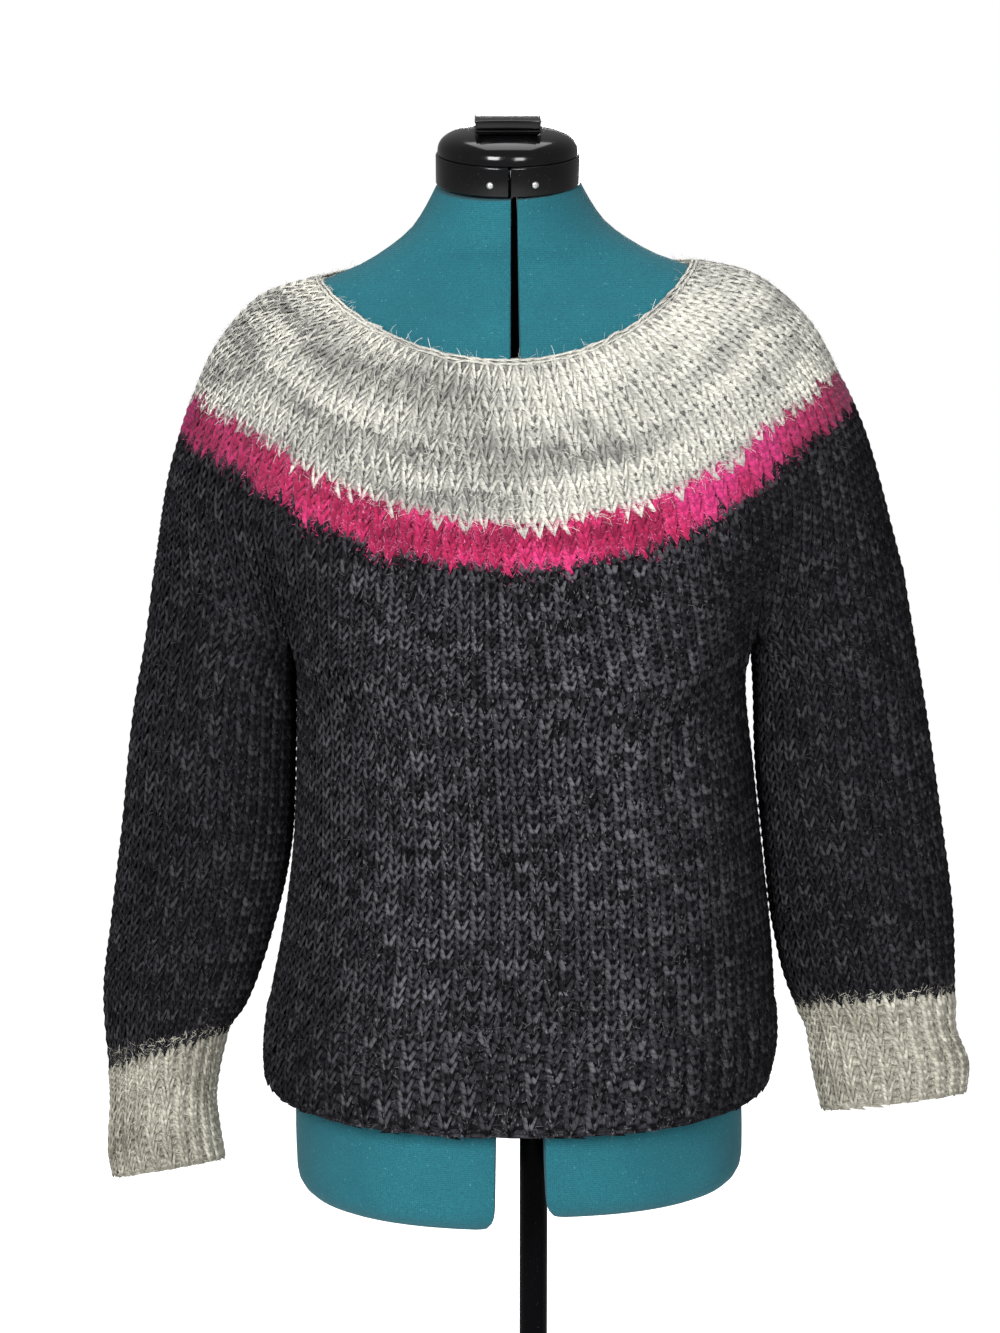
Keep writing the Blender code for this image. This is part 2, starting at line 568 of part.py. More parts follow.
def slot_side(z, sign):
    """Distance from the form's middle to the left or right side of its slot, at a height."""
    share = (z - FORM_RINGS[0].z) / (FORM_RINGS[-1].z - FORM_RINGS[0].z)
    half = (SLOT_BOTTOM + (SLOT_TOP - SLOT_BOTTOM) * share) / 2
    return half + sign * SLOT_SHIFT * share


def well_side(z):
    """Where the right half's well for the pole ends, in the upright form."""
    return POLE_X + WELL_HALF[0] - FORM_X + FORM_LEAN * (z - FORM_RINGS[0].z)


def build_form_half(name, sign):
    """One half of the torso: its rings from the slot's front edge round to its back edge."""
    build = bmesh.new()
    rows = []
    for number, ring in enumerate(FORM_RINGS):
        gap = slot_side(ring.z, sign)
        height = ring.z + (RIGHT_HEM_RISE if sign > 0 and number < 3 else 0.0)
        angles = np.linspace(0, math.pi, 181)
        depth = np.where(np.cos(angles) > 0, -ring.front_y, ring.back_y)
        x = ring.half_width * power(np.sin(angles), 2 / ring.square)
        y = -depth * power(np.cos(angles), 2 / ring.square)
        keep = x >= gap
        outline = np.stack([x[keep], y[keep], np.full(keep.sum(), height)], -1)
        outline = spaced(outline, np.linspace(0, 1, HALF_COLUMNS))
        outline[0, 0] = outline[-1, 0] = gap
        if sign > 0:
            deep = well_side(ring.z) if ring.z < WELL_TOP else gap
            well = [(x, y, height) for x, y in ((gap, WELL_HALF[1]), (deep, WELL_HALF[1]),
                                                (deep, -WELL_HALF[1]), (gap, -WELL_HALF[1]))]
            outline = np.vstack([outline, well])
        rows.append([build.verts.new(form_place((sign * p[0], p[1], p[2]))) for p in outline])
    for low, high in zip(rows, rows[1:]):
        count = len(low)
        for j in range(count):
            k = (j + 1) % count
            build.faces.new((low[j], low[k], high[k], high[j]))
    build.faces.new(rows[0])
    build.faces.new(rows[-1])
    return add_object(name, build, "teal")


def turned(profile, count):
    """A bmesh turned round Z from (radius, z) pairs; a zero radius closes on the axis."""
    build = bmesh.new()
    rows = []
    for radius, z in profile:
        if radius == 0:
            rows.append([build.verts.new((0, 0, z))])
            continue
        turn = [2 * math.pi * k / count for k in range(count)]
        rows.append([build.verts.new((radius * math.cos(a), radius * math.sin(a), z))
                     for a in turn])
    for low, high in zip(rows, rows[1:]):
        for k in range(count):
            n = (k + 1) % count
            corners = [low[k % len(low)], low[n % len(low)], high[n % len(high)],
                       high[k % len(high)]]
            build.faces.new(list(dict.fromkeys(corners)))
    return build


def neck_frame():
    """The tilted frame of the neck ring, with its origin under the ring."""
    x, y, z = NECK_CENTRE
    return Matrix.Translation((x + FORM_X, y, z)) @ Matrix.Rotation(NECK_TILT, 4, "X")


def build_neck():
    """Neck ring with its two screws, the domed cap, and the pincushion plate on top."""
    frame = neck_frame()
    r, h, edge = RING_RADIUS, RING_HEIGHT, RING_EDGE
    ring = turned([(0, 0), (r - edge, 0), (r, edge * 2 / 3), (r, h - edge / 3),
                   (r - edge / 3, h), (0, h)], TURN_STEPS)
    ring.transform(frame)
    add_object("neck_ring", ring, "black")
    base = h + FIT
    outline = [(0, base), (r - edge / 6, base), (r, base + edge / 2)]
    outline += [(r - inward, base + share * CAP_HEIGHT) for inward, share in DOME]
    cap = turned(outline + [(0, base + CAP_HEIGHT)], TURN_STEPS)
    cap.transform(frame)
    add_object("neck_cap", cap, "black")
    low = base + CAP_HEIGHT + FIT
    for name, size in (("knob_plate", PLATE_SIZE), ("knob", KNOB_SIZE)):
        block = bmesh.new()
        bmesh.ops.create_cube(block, size=1.0)
        block.transform(Matrix.Diagonal((*size, 1)))
        bmesh.ops.bevel(block, geom=block.edges[:], offset=BLOCK_BEVEL, segments=2, affect="EDGES",
                        profile=0.5, clamp_overlap=True)
        block.transform(frame @ Matrix.Translation((0, KNOB_Y, low + size[2] / 2)))
        low += size[2] + FIT
        add_object(name, block, "black")
    for k, side in enumerate((-1, 1)):
        angle = math.asin((SCREW_MIDDLE + side * SCREW_SPREAD) / RING_RADIUS)
        head = turned([(0, 0)] + [(share * SCREW_RADIUS, z) for share, z in SCREW_HEAD], 16)
        face = RING_RADIUS + FIT
        place = (Matrix.Translation((face * math.sin(angle), -face * math.cos(angle), SCREW_HEIGHT))
                 @ Matrix.Rotation(angle, 4, "Z") @ Matrix.Rotation(math.pi / 2, 4, "X"))
        head.transform(frame @ place)
        add_object("neck_screw_" + str(k + 1), head, "screw")


def build_carrier():
    """The block on the pole that carries the halves, and its spine up the slot to the neck."""
    low, step = POLE_TOP + FIT, POLE_TOP + FIT + CARRIER_HEIGHT
    heights = [low, step, step] + [ring.z for ring in FORM_RINGS if step < ring.z < SPINE_TOP]
    half = WELL_HALF[1] - FIT
    build = bmesh.new()
    rows = []
    for number, z in enumerate(heights):
        left = FIT - slot_side(z, -1)
        right = (well_side(z) if number < 2 else slot_side(z, 1)) - FIT
        near, far = [build.verts.new(form_place((right, y, z))) for y in (-half, half)]
        if number == 2:
            rows.append([rows[1][0], near, far, rows[1][3]])
            continue
        first, last = [build.verts.new(form_place((left, y, z))) for y in (-half, half)]
        rows.append([first, near, far, last])
    build.faces.new(rows[0])
    build.faces.new(rows[-1])
    for below, above in zip(rows, rows[1:]):
        for j in range(4):
            k = (j + 1) % 4
            corners = list(dict.fromkeys((below[j], below[k], above[k], above[j])))
            if len(corners) > 2:
                build.faces.new(corners)
    add_object("carrier", build, "black", smooth=False)


def build_stand():
    """Pole, carrier, collar and four-legged base."""
    build_carrier()
    foot = BASE_THICK + FIT
    pole = turned([(0, foot), (POLE_RADIUS, foot), (POLE_RADIUS, POLE_TOP), (0, POLE_TOP)], 24)
    pole.transform(Matrix.Translation((POLE_X, 0, 0)))
    add_object("pole", pole, "metal")
    bore, top = POLE_RADIUS + FIT, foot + COLLAR_HEIGHT
    side, lip = COLLAR_SHOULDER, COLLAR_LIP
    collar = turned([(bore, foot), (COLLAR_RADIUS, foot), (COLLAR_RADIUS, top - side[0]),
                     (COLLAR_RADIUS - side[1], top - lip[0]), (bore + lip[1], top), (bore, top),
                     (bore, foot)], 24)
    bmesh.ops.remove_doubles(collar, verts=collar.verts, dist=0.00001)
    collar.transform(Matrix.Translation((POLE_X, 0, 0)))
    add_object("collar", collar, "black")
    outline = []
    for k in range(4):
        turn = Matrix.Rotation(math.radians(45 + 90 * k), 3, "Z")
        reach = LEG_REACH - LEG_TIP
        tip = [(reach + LEG_TIP * math.sin(a), -LEG_TIP * math.cos(a))
               for a in np.linspace(0, math.pi, 7)]
        outline += [turn @ Vector((LEG_FORK, -LEG_ROOT, 0))]
        outline += [turn @ Vector((x, y, 0)) for x, y in tip]
        outline += [turn @ Vector((LEG_FORK, LEG_ROOT, 0))]
    build = bmesh.new()
    face = build.faces.new([build.verts.new(p) for p in outline])
    raised = bmesh.ops.extrude_face_region(build, geom=[face])
    for item in raised["geom"]:
        if isinstance(item, bmesh.types.BMVert):
            item.co.z += BASE_THICK
    build.transform(Matrix.Translation((POLE_X, 0, 0)))
    add_object("base", build, "metal", smooth=False)


def main():
    """Build the pullover and its dress form."""
    clear_scene()
    build_yoke()
    build_body()
    build_sleeve("left")
    build_sleeve("right")
    build_form_half("form_left", -1)
    build_form_half("form_right", 1)
    build_neck()
    build_stand()


main()
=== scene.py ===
"""Looks of a hand-knitted round-yoke pullover with one bright stripe, on a limbless dress form.

The knitting is one net of wales, the columns of stitches that run from the neck to every lower
edge. Shells, stitches and loose fibres are all laid on that net, so they share its edges and
folds. Metres, +Z up; the garment's front faces -Y, and left is -X.
"""
import logging
import math
from collections.abc import Callable, Sequence
from dataclasses import astuple, dataclass
from enum import Enum
from functools import partial

import bmesh
import bpy
import numpy as np
from mathutils import Matrix, Vector


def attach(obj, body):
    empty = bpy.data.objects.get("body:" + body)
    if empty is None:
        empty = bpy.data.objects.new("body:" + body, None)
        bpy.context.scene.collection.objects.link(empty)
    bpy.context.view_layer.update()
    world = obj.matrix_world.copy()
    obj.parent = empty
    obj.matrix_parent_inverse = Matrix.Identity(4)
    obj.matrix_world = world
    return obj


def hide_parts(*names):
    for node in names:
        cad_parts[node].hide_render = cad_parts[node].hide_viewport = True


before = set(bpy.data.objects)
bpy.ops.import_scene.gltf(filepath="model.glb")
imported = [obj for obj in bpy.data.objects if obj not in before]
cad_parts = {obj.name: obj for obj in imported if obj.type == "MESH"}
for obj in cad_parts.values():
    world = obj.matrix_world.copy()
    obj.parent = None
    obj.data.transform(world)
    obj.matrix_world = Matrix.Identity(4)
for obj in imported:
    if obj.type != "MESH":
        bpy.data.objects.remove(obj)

Array = np.ndarray
Colour = tuple[float, float, float]
Vec3 = tuple[float, float, float]
Socket = bpy.types.NodeSocket
Tree = bpy.types.NodeTree
Mesh = bpy.types.Mesh
Piece = bpy.types.Object
Material = bpy.types.Material
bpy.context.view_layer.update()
LOG = logging.getLogger("pullover")

FORM_X = -0.0121  # the form's middle, beside the pole
BAKE_MAP = "OFBake"  # UV map in which no two faces overlap


class Side(Enum):
    """An arm's side, as seen from the front; the value is its sign along X."""

    LEFT = -1
    RIGHT = 1


class Face(Enum):
    """The front or the back of the body."""

    FRONT = 0
    BACK = 1


# The net of wales


def table(kind: type, *rows: tuple[float, ...]) -> tuple:
    """Rings of one kind, from the rows of a table."""
    return tuple(kind(*row) for row in rows)


def power(value: Array, exponent: float) -> Array:
    """Signed power, for superellipses."""
    return np.sign(value) * np.abs(value) ** exponent


@dataclass(frozen=True)
class BodyRing:
    """A ring of the knitting round the body, by where it lies at its left, right, front, back."""

    left_x: float
    left_z: float
    right_x: float
    right_z: float
    front_y: float
    front_z: float
    back_y: float
    back_z: float
    square: float = 2.4
    dip: float = 2.0

    def points(self, angle: Array) -> Array:
        """Points at angles from the middle of the front, round to the right."""
        across, ahead = np.sin(angle), np.cos(angle)
        middle = (self.left_x + self.right_x) / 2
        half = (self.right_x - self.left_x) / 2
        depth = np.where(ahead > 0, -self.front_y, self.back_y)
        lean = (self.right_z - self.left_z) / 2 * across
        side_z = (self.left_z + self.right_z) / 2 + lean
        end_z = np.where(ahead > 0, self.front_z, self.back_z)
        x = middle + half * power(across, 2 / self.square)
        y = -depth * power(ahead, 2 / self.square)
        z = side_z + (end_z - side_z) * np.abs(ahead) ** self.dip
        return np.stack([x, y, z], -1)


@dataclass(frozen=True)
class SleeveRing:
    """A ring round a sleeve, as distances from the middle of the body."""

    in_x: float
    in_z: float
    out_x: float
    out_z: float
    half_depth: float
    middle_y: float
    front_rise: float = 0.0

    def points(self, side: Side, angle: Array) -> Array:
        """Points at angles from the sleeve's outer side, round by the front."""
        middle_x, half = (self.in_x + self.out_x) / 2, (self.out_x - self.in_x) / 2
        middle_z, rise = (self.in_z + self.out_z) / 2, (self.out_z - self.in_z) / 2
        x = side.value * (middle_x + half * np.cos(angle))
        y = self.middle_y - self.half_depth * np.sin(angle)
        z = middle_z + rise * np.cos(angle) + self.front_rise * np.sin(angle)
        return np.stack([x, y, z], -1)


@dataclass(frozen=True)
class Fold:
    """A large fold: where its middle runs, in shares of a strip and in levels, and its depth."""

    wale_top: float
    wale_low: float
    ring_top: float
    ring_low: float
    half_width: float
    depth: float

    def drop(self, shares: Array, levels: Array) -> Array:
        """How far the fold draws the knitting in, for every level and share."""
        along = (levels - self.ring_top) / (self.ring_low - self.ring_top)
        inside = np.where((along > 0) & (along < 1), np.sin(math.pi * np.clip(along, 0, 1)), 0)
        middle = self.wale_top + (self.wale_low - self.wale_top) * along
        across = np.exp(-((shares[None, :] - middle[:, None]) / self.half_width) ** 2)
        return self.depth * inside[:, None] * across


def spaced(points: Array, shares: Array) -> Array:
    """Points at shares of the length of a polyline."""
    steps = np.linalg.norm(np.diff(points, axis=0), axis=1)
    along = np.concatenate([[0], np.cumsum(steps)])
    wanted = np.asarray(shares) * along[-1]
    return np.stack([np.interp(wanted, along, points[:, k]) for k in range(3)], -1)


def softened(points: Array, passes: int = 10) -> Array:
    """A polyline with its corners rounded and its ends kept."""
    points = points.copy()
    for _ in range(passes):
        points[1:-1] = (points[:-2] + 2 * points[1:-1] + points[2:]) / 4
    return points


def around(curve: Callable[[Array], Array], shares: Array) -> Array:
    """Points of a closed curve at shares of its length, counted from angle zero."""
    return spaced(curve(np.linspace(0, 2 * math.pi, 721)), np.asarray(shares) % 1.0)


class PulloverNet:
    """The rings of the pullover, and the wales through them."""

    crease_y = (-0.038, 0.036)  # where the front and back creases meet the underarm
    crease_in = 0.007  # how far a crease is drawn in behind those points
    underarm_part = 0.0045  # half the space between body and sleeve in a crease
    side_bow = 0.001  # how far the body's side bows out under the arm
    front_of_yoke = 0.149  # half the front, as a share of a ring that takes in both arms
    front_of_body = 0.2085  # the same, of a ring of the body alone
    arm_of_sleeve = 0.39  # half of the arm's share of a sleeve ring
    yoke = table(
        BodyRing,
        (-0.1362, 1.3375, 0.1165, 1.3490, -0.0850, 1.2816, 0.0720, 1.3530, 2.10, 1.6),
        (-0.1785, 1.3230, 0.1620, 1.3370, -0.1030, 1.2430, 0.0970, 1.3190, 2.15, 1.7),
        (-0.2078, 1.2910, 0.1975, 1.3070, -0.1150, 1.2095, 0.1120, 1.2730, 2.16, 2.1),
        (-0.2268, 1.2510, 0.2200, 1.2680, -0.1225, 1.1755, 0.1200, 1.2230, 2.10, 2.6),
        (-0.2369, 1.2205, 0.2322, 1.2430, -0.1285, 1.1440, 0.1235, 1.1930, 2.12, 2.4),
    )
    underarm = BodyRing(-0.154, 1.083, 0.1575, 1.09, -0.1335, 1.062, 0.1205, 1.07)
    body = table(
        BodyRing,
        (-0.1545, 1.0550, 0.1560, 1.0580, -0.1325, 1.0330, 0.1200, 1.0400),
        (-0.1555, 1.0000, 0.1620, 1.0000, -0.1300, 0.9850, 0.1180, 0.9880),
        (-0.1585, 0.9400, 0.1690, 0.9400, -0.1290, 0.9320, 0.1180, 0.9320),
        (-0.1670, 0.8780, 0.1762, 0.8760, -0.1310, 0.8760, 0.1200, 0.8760),
        (-0.1757, 0.8320, 0.1790, 0.8320, -0.1335, 0.8320, 0.1230, 0.8320),
        (-0.1795, 0.7980, 0.1795, 0.8020, -0.1350, 0.8000, 0.1240, 0.8000),
        (-0.1785, 0.7750, 0.1740, 0.7750, -0.1350, 0.7680, 0.1235, 0.7720),
    )
    armhole = {
        Side.RIGHT: SleeveRing(0.161, 1.09, 0.2655, 1.135, 0.058, -0.002),
        Side.LEFT: SleeveRing(0.156, 1.083, 0.2537, 1.135, 0.057, -0.002),
    }
    sleeve = {
        Side.RIGHT: table(
            SleeveRing,
            (0.1635, 1.0580, 0.2725, 1.0950, 0.0560, -0.002),
            (0.1658, 1.0000, 0.2838, 1.0330, 0.0530, -0.003),
            (0.1728, 0.9350, 0.2950, 0.9620, 0.0510, -0.004, 0.002),
            (0.1800, 0.8800, 0.3045, 0.8930, 0.0490, -0.006, 0.006),
            (0.1905, 0.8400, 0.3065, 0.8500, 0.0460, -0.008, 0.010),
            (0.1965, 0.8260, 0.3068, 0.8350, 0.0445, -0.009, 0.011),
            (0.2035, 0.8120, 0.3072, 0.8120, 0.0420, -0.010, 0.011),
            (0.2090, 0.7820, 0.3165, 0.7850, 0.0415, -0.011, 0.011),
            (0.2165, 0.7490, 0.3155, 0.7620, 0.0400, -0.011, 0.011),
        ),
        Side.LEFT: table(
            SleeveRing,
            (0.1570, 1.0550, 0.2590, 1.0950, 0.0550, -0.002),
            (0.1580, 1.0000, 0.2700, 1.0330, 0.0520, -0.003),
            (0.1622, 0.9350, 0.2795, 0.9500, 0.0490, -0.004, 0.002),
            (0.1715, 0.8930, 0.2868, 0.8930, 0.0460, -0.006, 0.005),
            (0.1945, 0.8270, 0.2935, 0.8230, 0.0410, -0.009, 0.009),
            (0.2079, 0.8060, 0.2905, 0.7814, 0.0380, -0.010, 0.009),
            (0.2165, 0.7665, 0.2895, 0.7580, 0.0350, -0.011, 0.009),
            (0.2155, 0.7450, 0.2912, 0.7220, 0.0355, -0.012, 0.009),
            (0.2110, 0.7140, 0.2885, 0.7010, 0.0350, -0.012, 0.009),
        ),
    }
    front_folds = (
        Fold(0.80, 0.74, 5.2, 8.0, 0.045, 0.0045),
        Fold(0.17, 0.30, 5.2, 8.6, 0.050, 0.0040),
        Fold(0.52, 0.46, 6.2, 9.6, 0.060, 0.0030),
    )
    back_folds = (
        Fold(0.22, 0.30, 5.2, 8.6, 0.050, 0.0045),
        Fold(0.80, 0.68, 5.2, 9.2, 0.055, 0.0040),
        Fold(0.48, 0.52, 5.8, 9.4, 0.060, 0.0030),
    )
    arm_folds = {
        Side.RIGHT: (Fold(0.19, 0.24, 4.5, 9.3, 0.055, 0.0045),
                     Fold(0.78, 0.70, 5.0, 9.0, 0.060, 0.0045)),
        Side.LEFT: (Fold(0.72, 0.76, 4.8, 7.6, 0.055, 0.0055),
                    Fold(0.24, 0.32, 5.0, 9.0, 0.060, 0.0045)),
    }

    def crease(self, side: Side, face: Face) -> Array:
        """The point where an armhole's crease meets the underarm."""
        right = side is Side.RIGHT
        edge = self.underarm.right_x if right else -self.underarm.left_x
        height = self.underarm.right_z if right else self.underarm.left_z
        inward = self.crease_in if face is Face.FRONT else -self.crease_in
        y = self.crease_y[face.value] + inward
        return np.array([side.value * (edge + self.underarm_part), y, height])

    def underarm_run(self, face: Face) -> Array:
        """The underarm ring across the front or the back, from crease to crease."""
        front = face is Face.FRONT
        depth = -self.underarm.front_y if front else self.underarm.back_y
        share = abs(self.crease_y[face.value]) / depth
        reach = math.acos(share ** (self.underarm.square / 2))
        middle = 0.0 if front else math.pi
        run = self.underarm.points(np.linspace(middle - reach, middle + reach, 121))
        first, last = (Side.LEFT, Side.RIGHT) if front else (Side.RIGHT, Side.LEFT)
        return softened(np.vstack([self.crease(first, face), run, self.crease(last, face)]))

    def armhole_angles(self, side: Side) -> tuple[float, float]:
        """Angles of the armhole's front and back creases, from its outer side."""
        ring = self.armhole[side]
        front = math.pi - math.asin((-self.crease_y[0] + ring.middle_y) / ring.half_depth)
        back = math.pi + math.asin((self.crease_y[1] - ring.middle_y) / ring.half_depth)
        return front, back

    def armhole_run(self, side: Side) -> Array:
        """The underarm ring over one arm, from crease to crease, in the yoke's direction."""
        front, back = self.armhole_angles(side)
        run = self.armhole[side].points(side, np.linspace(front, back - 2 * math.pi, 121))
        run = np.vstack([self.crease(side, Face.FRONT), run, self.crease(side, Face.BACK)])
        return softened(run if side is Side.RIGHT else run[::-1])

    def panel(self, face: Face, shares: Array) -> Array:
        """Every ring across the front or the back, from the neck edge to the hem's edge."""
        half = 0.0 if face is Face.FRONT else 0.5
        yoke = half + self.front_of_yoke * (2 * shares - 1)
        low = half + self.front_of_body * (2 * shares - 1)
        rows = [around(ring.points, yoke) for ring in self.yoke]
        rows.append(spaced(self.underarm_run(face), shares))
        return np.array(rows + [around(ring.points, low) for ring in self.body])

    def arm(self, side: Side, shares: Array) -> Array:
        """Every ring over one arm, from the neck edge to the cuff's edge."""
        start = self.front_of_yoke + (0.0 if side is Side.RIGHT else 0.5)
        yoke = start + (0.5 - 2 * self.front_of_yoke) * shares
        low = side.value * self.arm_of_sleeve * (1 - 2 * shares)
        rows = [around(ring.points, yoke) for ring in self.yoke]
        rows.append(spaced(self.armhole_run(side), shares))
        rows += [around(partial(ring.points, side), low) for ring in self.sleeve[side]]
        return np.array(rows)

    def body_side(self, side: Side, shares: Array) -> Array:
        """The body's rings under one arm, from crease to crease."""
        right = side is Side.RIGHT
        middle, reach = (0.25 if right else 0.75), 0.25 - self.front_of_body
        turn = np.linspace(-1, 1, 41)
        ends = self.crease_y if right else self.crease_y[::-1]
        edge = self.underarm.right_x if right else self.underarm.left_x
        height = self.underarm.right_z if right else self.underarm.left_z
        x = edge - side.value * self.side_bow * np.abs(turn)
        top = np.stack([x, np.linspace(*ends, 41), np.full(41, height)], -1)
        low = middle + reach * (2 * shares - 1)
        return np.array([spaced(top, shares)] + [around(r.points, low) for r in self.body])

    def sleeve_under(self, side: Side, shares: Array) -> Array:
        """The sleeve's rings down its underside, from crease to crease."""
        front, back = self.armhole_angles(side)
        ends = (back, front) if side is Side.RIGHT else (front, back)
        rows = [spaced(self.armhole[side].points(side, np.linspace(*ends, 41)), shares)]
        low = -side.value * (self.arm_of_sleeve + (1 - 2 * self.arm_of_sleeve) * shares)
        rows += [around(partial(ring.points, side), low) for ring in self.sleeve[side]]
        return np.array(rows)


@dataclass(frozen=True)
class Strip:
    """A strip of wales between two creases, with its folds and the level of its first ring."""

    rows: Callable[[Array], Array]
    folds: tuple[Fold, ...] = ()
    first: int = 0


@dataclass
class Patch:
    """A closed band of the net: a grid of levels by columns, with its directions and spacing."""

    points: Array
    downs: Array
    normals: Array
    across: Array
    width: Array
    height: Array
    turn: Array
    along: Array

    def lifted(self, lift: float | Array) -> Array:
        """The grid's points moved out of the net, in world coordinates."""
        lift = np.broadcast_to(np.asarray(lift), self.points.shape[:2])
        return self.points + self.normals * lift[:, :, None] + np.array([FORM_X, 0, 0])

    def pattern(self) -> Array:
        """Coordinates that follow the cloth: a circle round it, and the way down it."""
        turn = 2 * math.pi * np.broadcast_to(self.turn[None, :], self.width.shape)
        along = np.broadcast_to(self.along[:, None], self.width.shape)
        radius = self.width.shape[1] * self.width.mean() / (2 * math.pi)
        return np.stack([radius * np.cos(turn), radius * np.sin(turn), along], -1)


@dataclass(frozen=True)
class Tube:
    """A closed tube of the knitting: strips side by side, counted in levels from the neck."""

    strips: tuple[Strip, ...]
    first: int
    rings: int

    def rings_at(self, shares: Sequence[Array]) -> Array:
        """The tube's rings, with points at shares of each strip."""
        parts = [strip.rows(share)[self.first - strip.first:][:self.rings]
                 for strip, share in zip(self.strips, shares)]
        return np.concatenate(parts, axis=1)

    def band(self, counts: Sequence[int], levels: Array, phase: float = 0.0) -> Patch:
        """The tube's grid at some levels.

        Args:
            counts: columns in each strip.
            levels: rows of the grid, in rings from the neck, fractions between them.
            phase: where a column lies in its share of a strip; 0.5 is its middle.

        Returns:
            The band, with its folds drawn in.
        """
        shares = [(np.arange(count) + phase) / count for count in counts]
        points, downs = smooth_wales(self.rings_at(shares), levels - self.first)
        drop = [np.sum([fold.drop(share, levels) for fold in strip.folds]
                       + [np.zeros((len(levels), len(share)))], axis=0)
                for strip, share in zip(self.strips, shares)]
        points = points - outward(points, downs) * np.concatenate(drop, axis=1)[:, :, None]
        normals = outward(points, downs)
        step = np.roll(points, -1, axis=1) - np.roll(points, 1, axis=1)
        width = np.linalg.norm(step, axis=2) / 2
        height = np.linalg.norm(np.gradient(points, axis=0), axis=2)
        bounds = np.cumsum([0] + [1 / len(self.strips)] * len(self.strips))
        turn = np.concatenate([bounds[k] + share / len(shares) for k, share in enumerate(shares)])
        return Patch(points, downs, normals, step / (2 * width[:, :, None]), width, height, turn,
                     self.down_to(levels))

    def down_to(self, levels: Array) -> Array:
        """The mean way down the cloth to each level, from the tube's first."""
        dense = np.linspace(self.first, float(np.max(levels)) + 1e-6, 121)
        shares = [np.linspace(0.1, 0.9, 5)] * len(self.strips)
        points, _ = smooth_wales(self.rings_at(shares), dense - self.first)
        steps = np.linalg.norm(np.diff(points, axis=0), axis=2).mean(axis=1)
        return np.interp(levels, dense, np.concatenate([[0], np.cumsum(steps)]))

    def courses(self, top: float, low: float, height: float) -> Array:
        """Levels of the middles of even courses of about a given height."""
        dense = np.linspace(top, low, 61)
        way = self.down_to(dense)
        count = max(1, round((way[-1] - way[0]) / height))
        return np.interp(way[0] + (way[-1] - way[0]) * (np.arange(count) + 0.5) / count, way, dense)

    def size(self, top: float, low: float) -> tuple[float, float]:
        """The widest way round between two levels, and the mean way down."""
        band = self.band([24] * len(self.strips), np.linspace(top, low, 9))
        way = self.down_to(np.array([top, low]))
        return float(band.width.sum(axis=1).max()), float(way[1] - way[0])


def smooth_wales(rows: Array, levels: Array) -> tuple[Array, Array]:
    """Points and unit downward directions on smooth curves through rows of points.

    Args:
        rows: rings by columns by coordinates.
        levels: fractional rows.

    Returns:
        Points and directions, each levels by columns by coordinates.
    """
    gaps = np.linalg.norm(np.diff(rows, axis=0), axis=2).mean(axis=1)
    slopes = np.empty_like(rows)
    slopes[0] = (rows[1] - rows[0]) / gaps[0]
    slopes[-1] = (rows[-1] - rows[-2]) / gaps[-1]
    chords = np.diff(rows, axis=0) / gaps[:, None, None]
    before, after = gaps[:-1, None, None], gaps[1:, None, None]
    slopes[1:-1] = (chords[:-1] * after + chords[1:] * before) / (before + after)
    base = np.clip(np.floor(levels).astype(int), 0, len(rows) - 2)
    t, gap = (levels - base)[:, None, None], gaps[base][:, None, None]
    low, high, out, into = rows[base], rows[base + 1], slopes[base], slopes[base + 1]
    points = ((2 * t**3 - 3 * t**2 + 1) * low + (t**3 - 2 * t**2 + t) * gap * out
              + (3 * t**2 - 2 * t**3) * high + (t**3 - t**2) * gap * into)
    downs = ((6 * t**2 - 6 * t) * (low - high) / gap
             + (3 * t**2 - 4 * t + 1) * out + (3 * t**2 - 2 * t) * into)
    return points, downs / np.linalg.norm(downs, axis=2, keepdims=True)


def outward(points: Array, downs: Array) -> Array:
    """Unit normals of a closed grid, away from the wearer."""
    across = np.roll(points, -1, axis=1) - np.roll(points, 1, axis=1)
    normals = np.cross(downs, across)
    return normals / np.linalg.norm(normals, axis=2, keepdims=True)


# Meshes


def add_object(name: str, data: bpy.types.ID) -> Piece:
    """Put some data into the scene, as an object at the origin."""
    made = bpy.data.objects.new(name, data)
    bpy.context.scene.collection.objects.link(made)
    return made


def new_piece(name: str, vertices: Array, faces: Array | list, smooth: bool = True) -> Piece:
    """Make an object at the origin from vertices and faces in world coordinates."""
    mesh = bpy.data.meshes.new(name)
    listed = faces.tolist() if isinstance(faces, np.ndarray) else faces
    mesh.from_pydata(vertices.reshape(-1, 3).tolist(), [], listed)
    mesh.polygons.foreach_set("use_smooth", [smooth] * len(mesh.polygons))
    return add_object(name, mesh)


def closed_piece(name: str, build: bmesh.types.BMesh, angle: float) -> Piece:
    """Make a piece of a closed form, smooth but for edges sharper than an angle in degrees."""
    bmesh.ops.recalc_face_normals(build, faces=build.faces)
    mesh = bpy.data.meshes.new(name)
    build.to_mesh(mesh)
    build.free()
    mesh.shade_smooth()
    mesh.set_sharp_from_angle(angle=math.radians(angle))
    return add_object(name, mesh)


def give(mesh: Mesh, name: str, values: Array) -> None:
    """Store a number or a vector for each vertex under a name."""
    vector = values.size > len(mesh.vertices)
    made = mesh.attributes.new(name, "FLOAT_VECTOR" if vector else "FLOAT", "POINT")
    made.data.foreach_set("vector" if vector else "value", values.astype(np.float32).ravel())


def whole_numbers(items: bpy.types.bpy_prop_collection, name: str) -> Array:
    """One property of a mesh's loops or faces, as an array of whole numbers."""
    values = np.empty(len(items), dtype=np.int64)
    items.foreach_get(name, values)
    return values


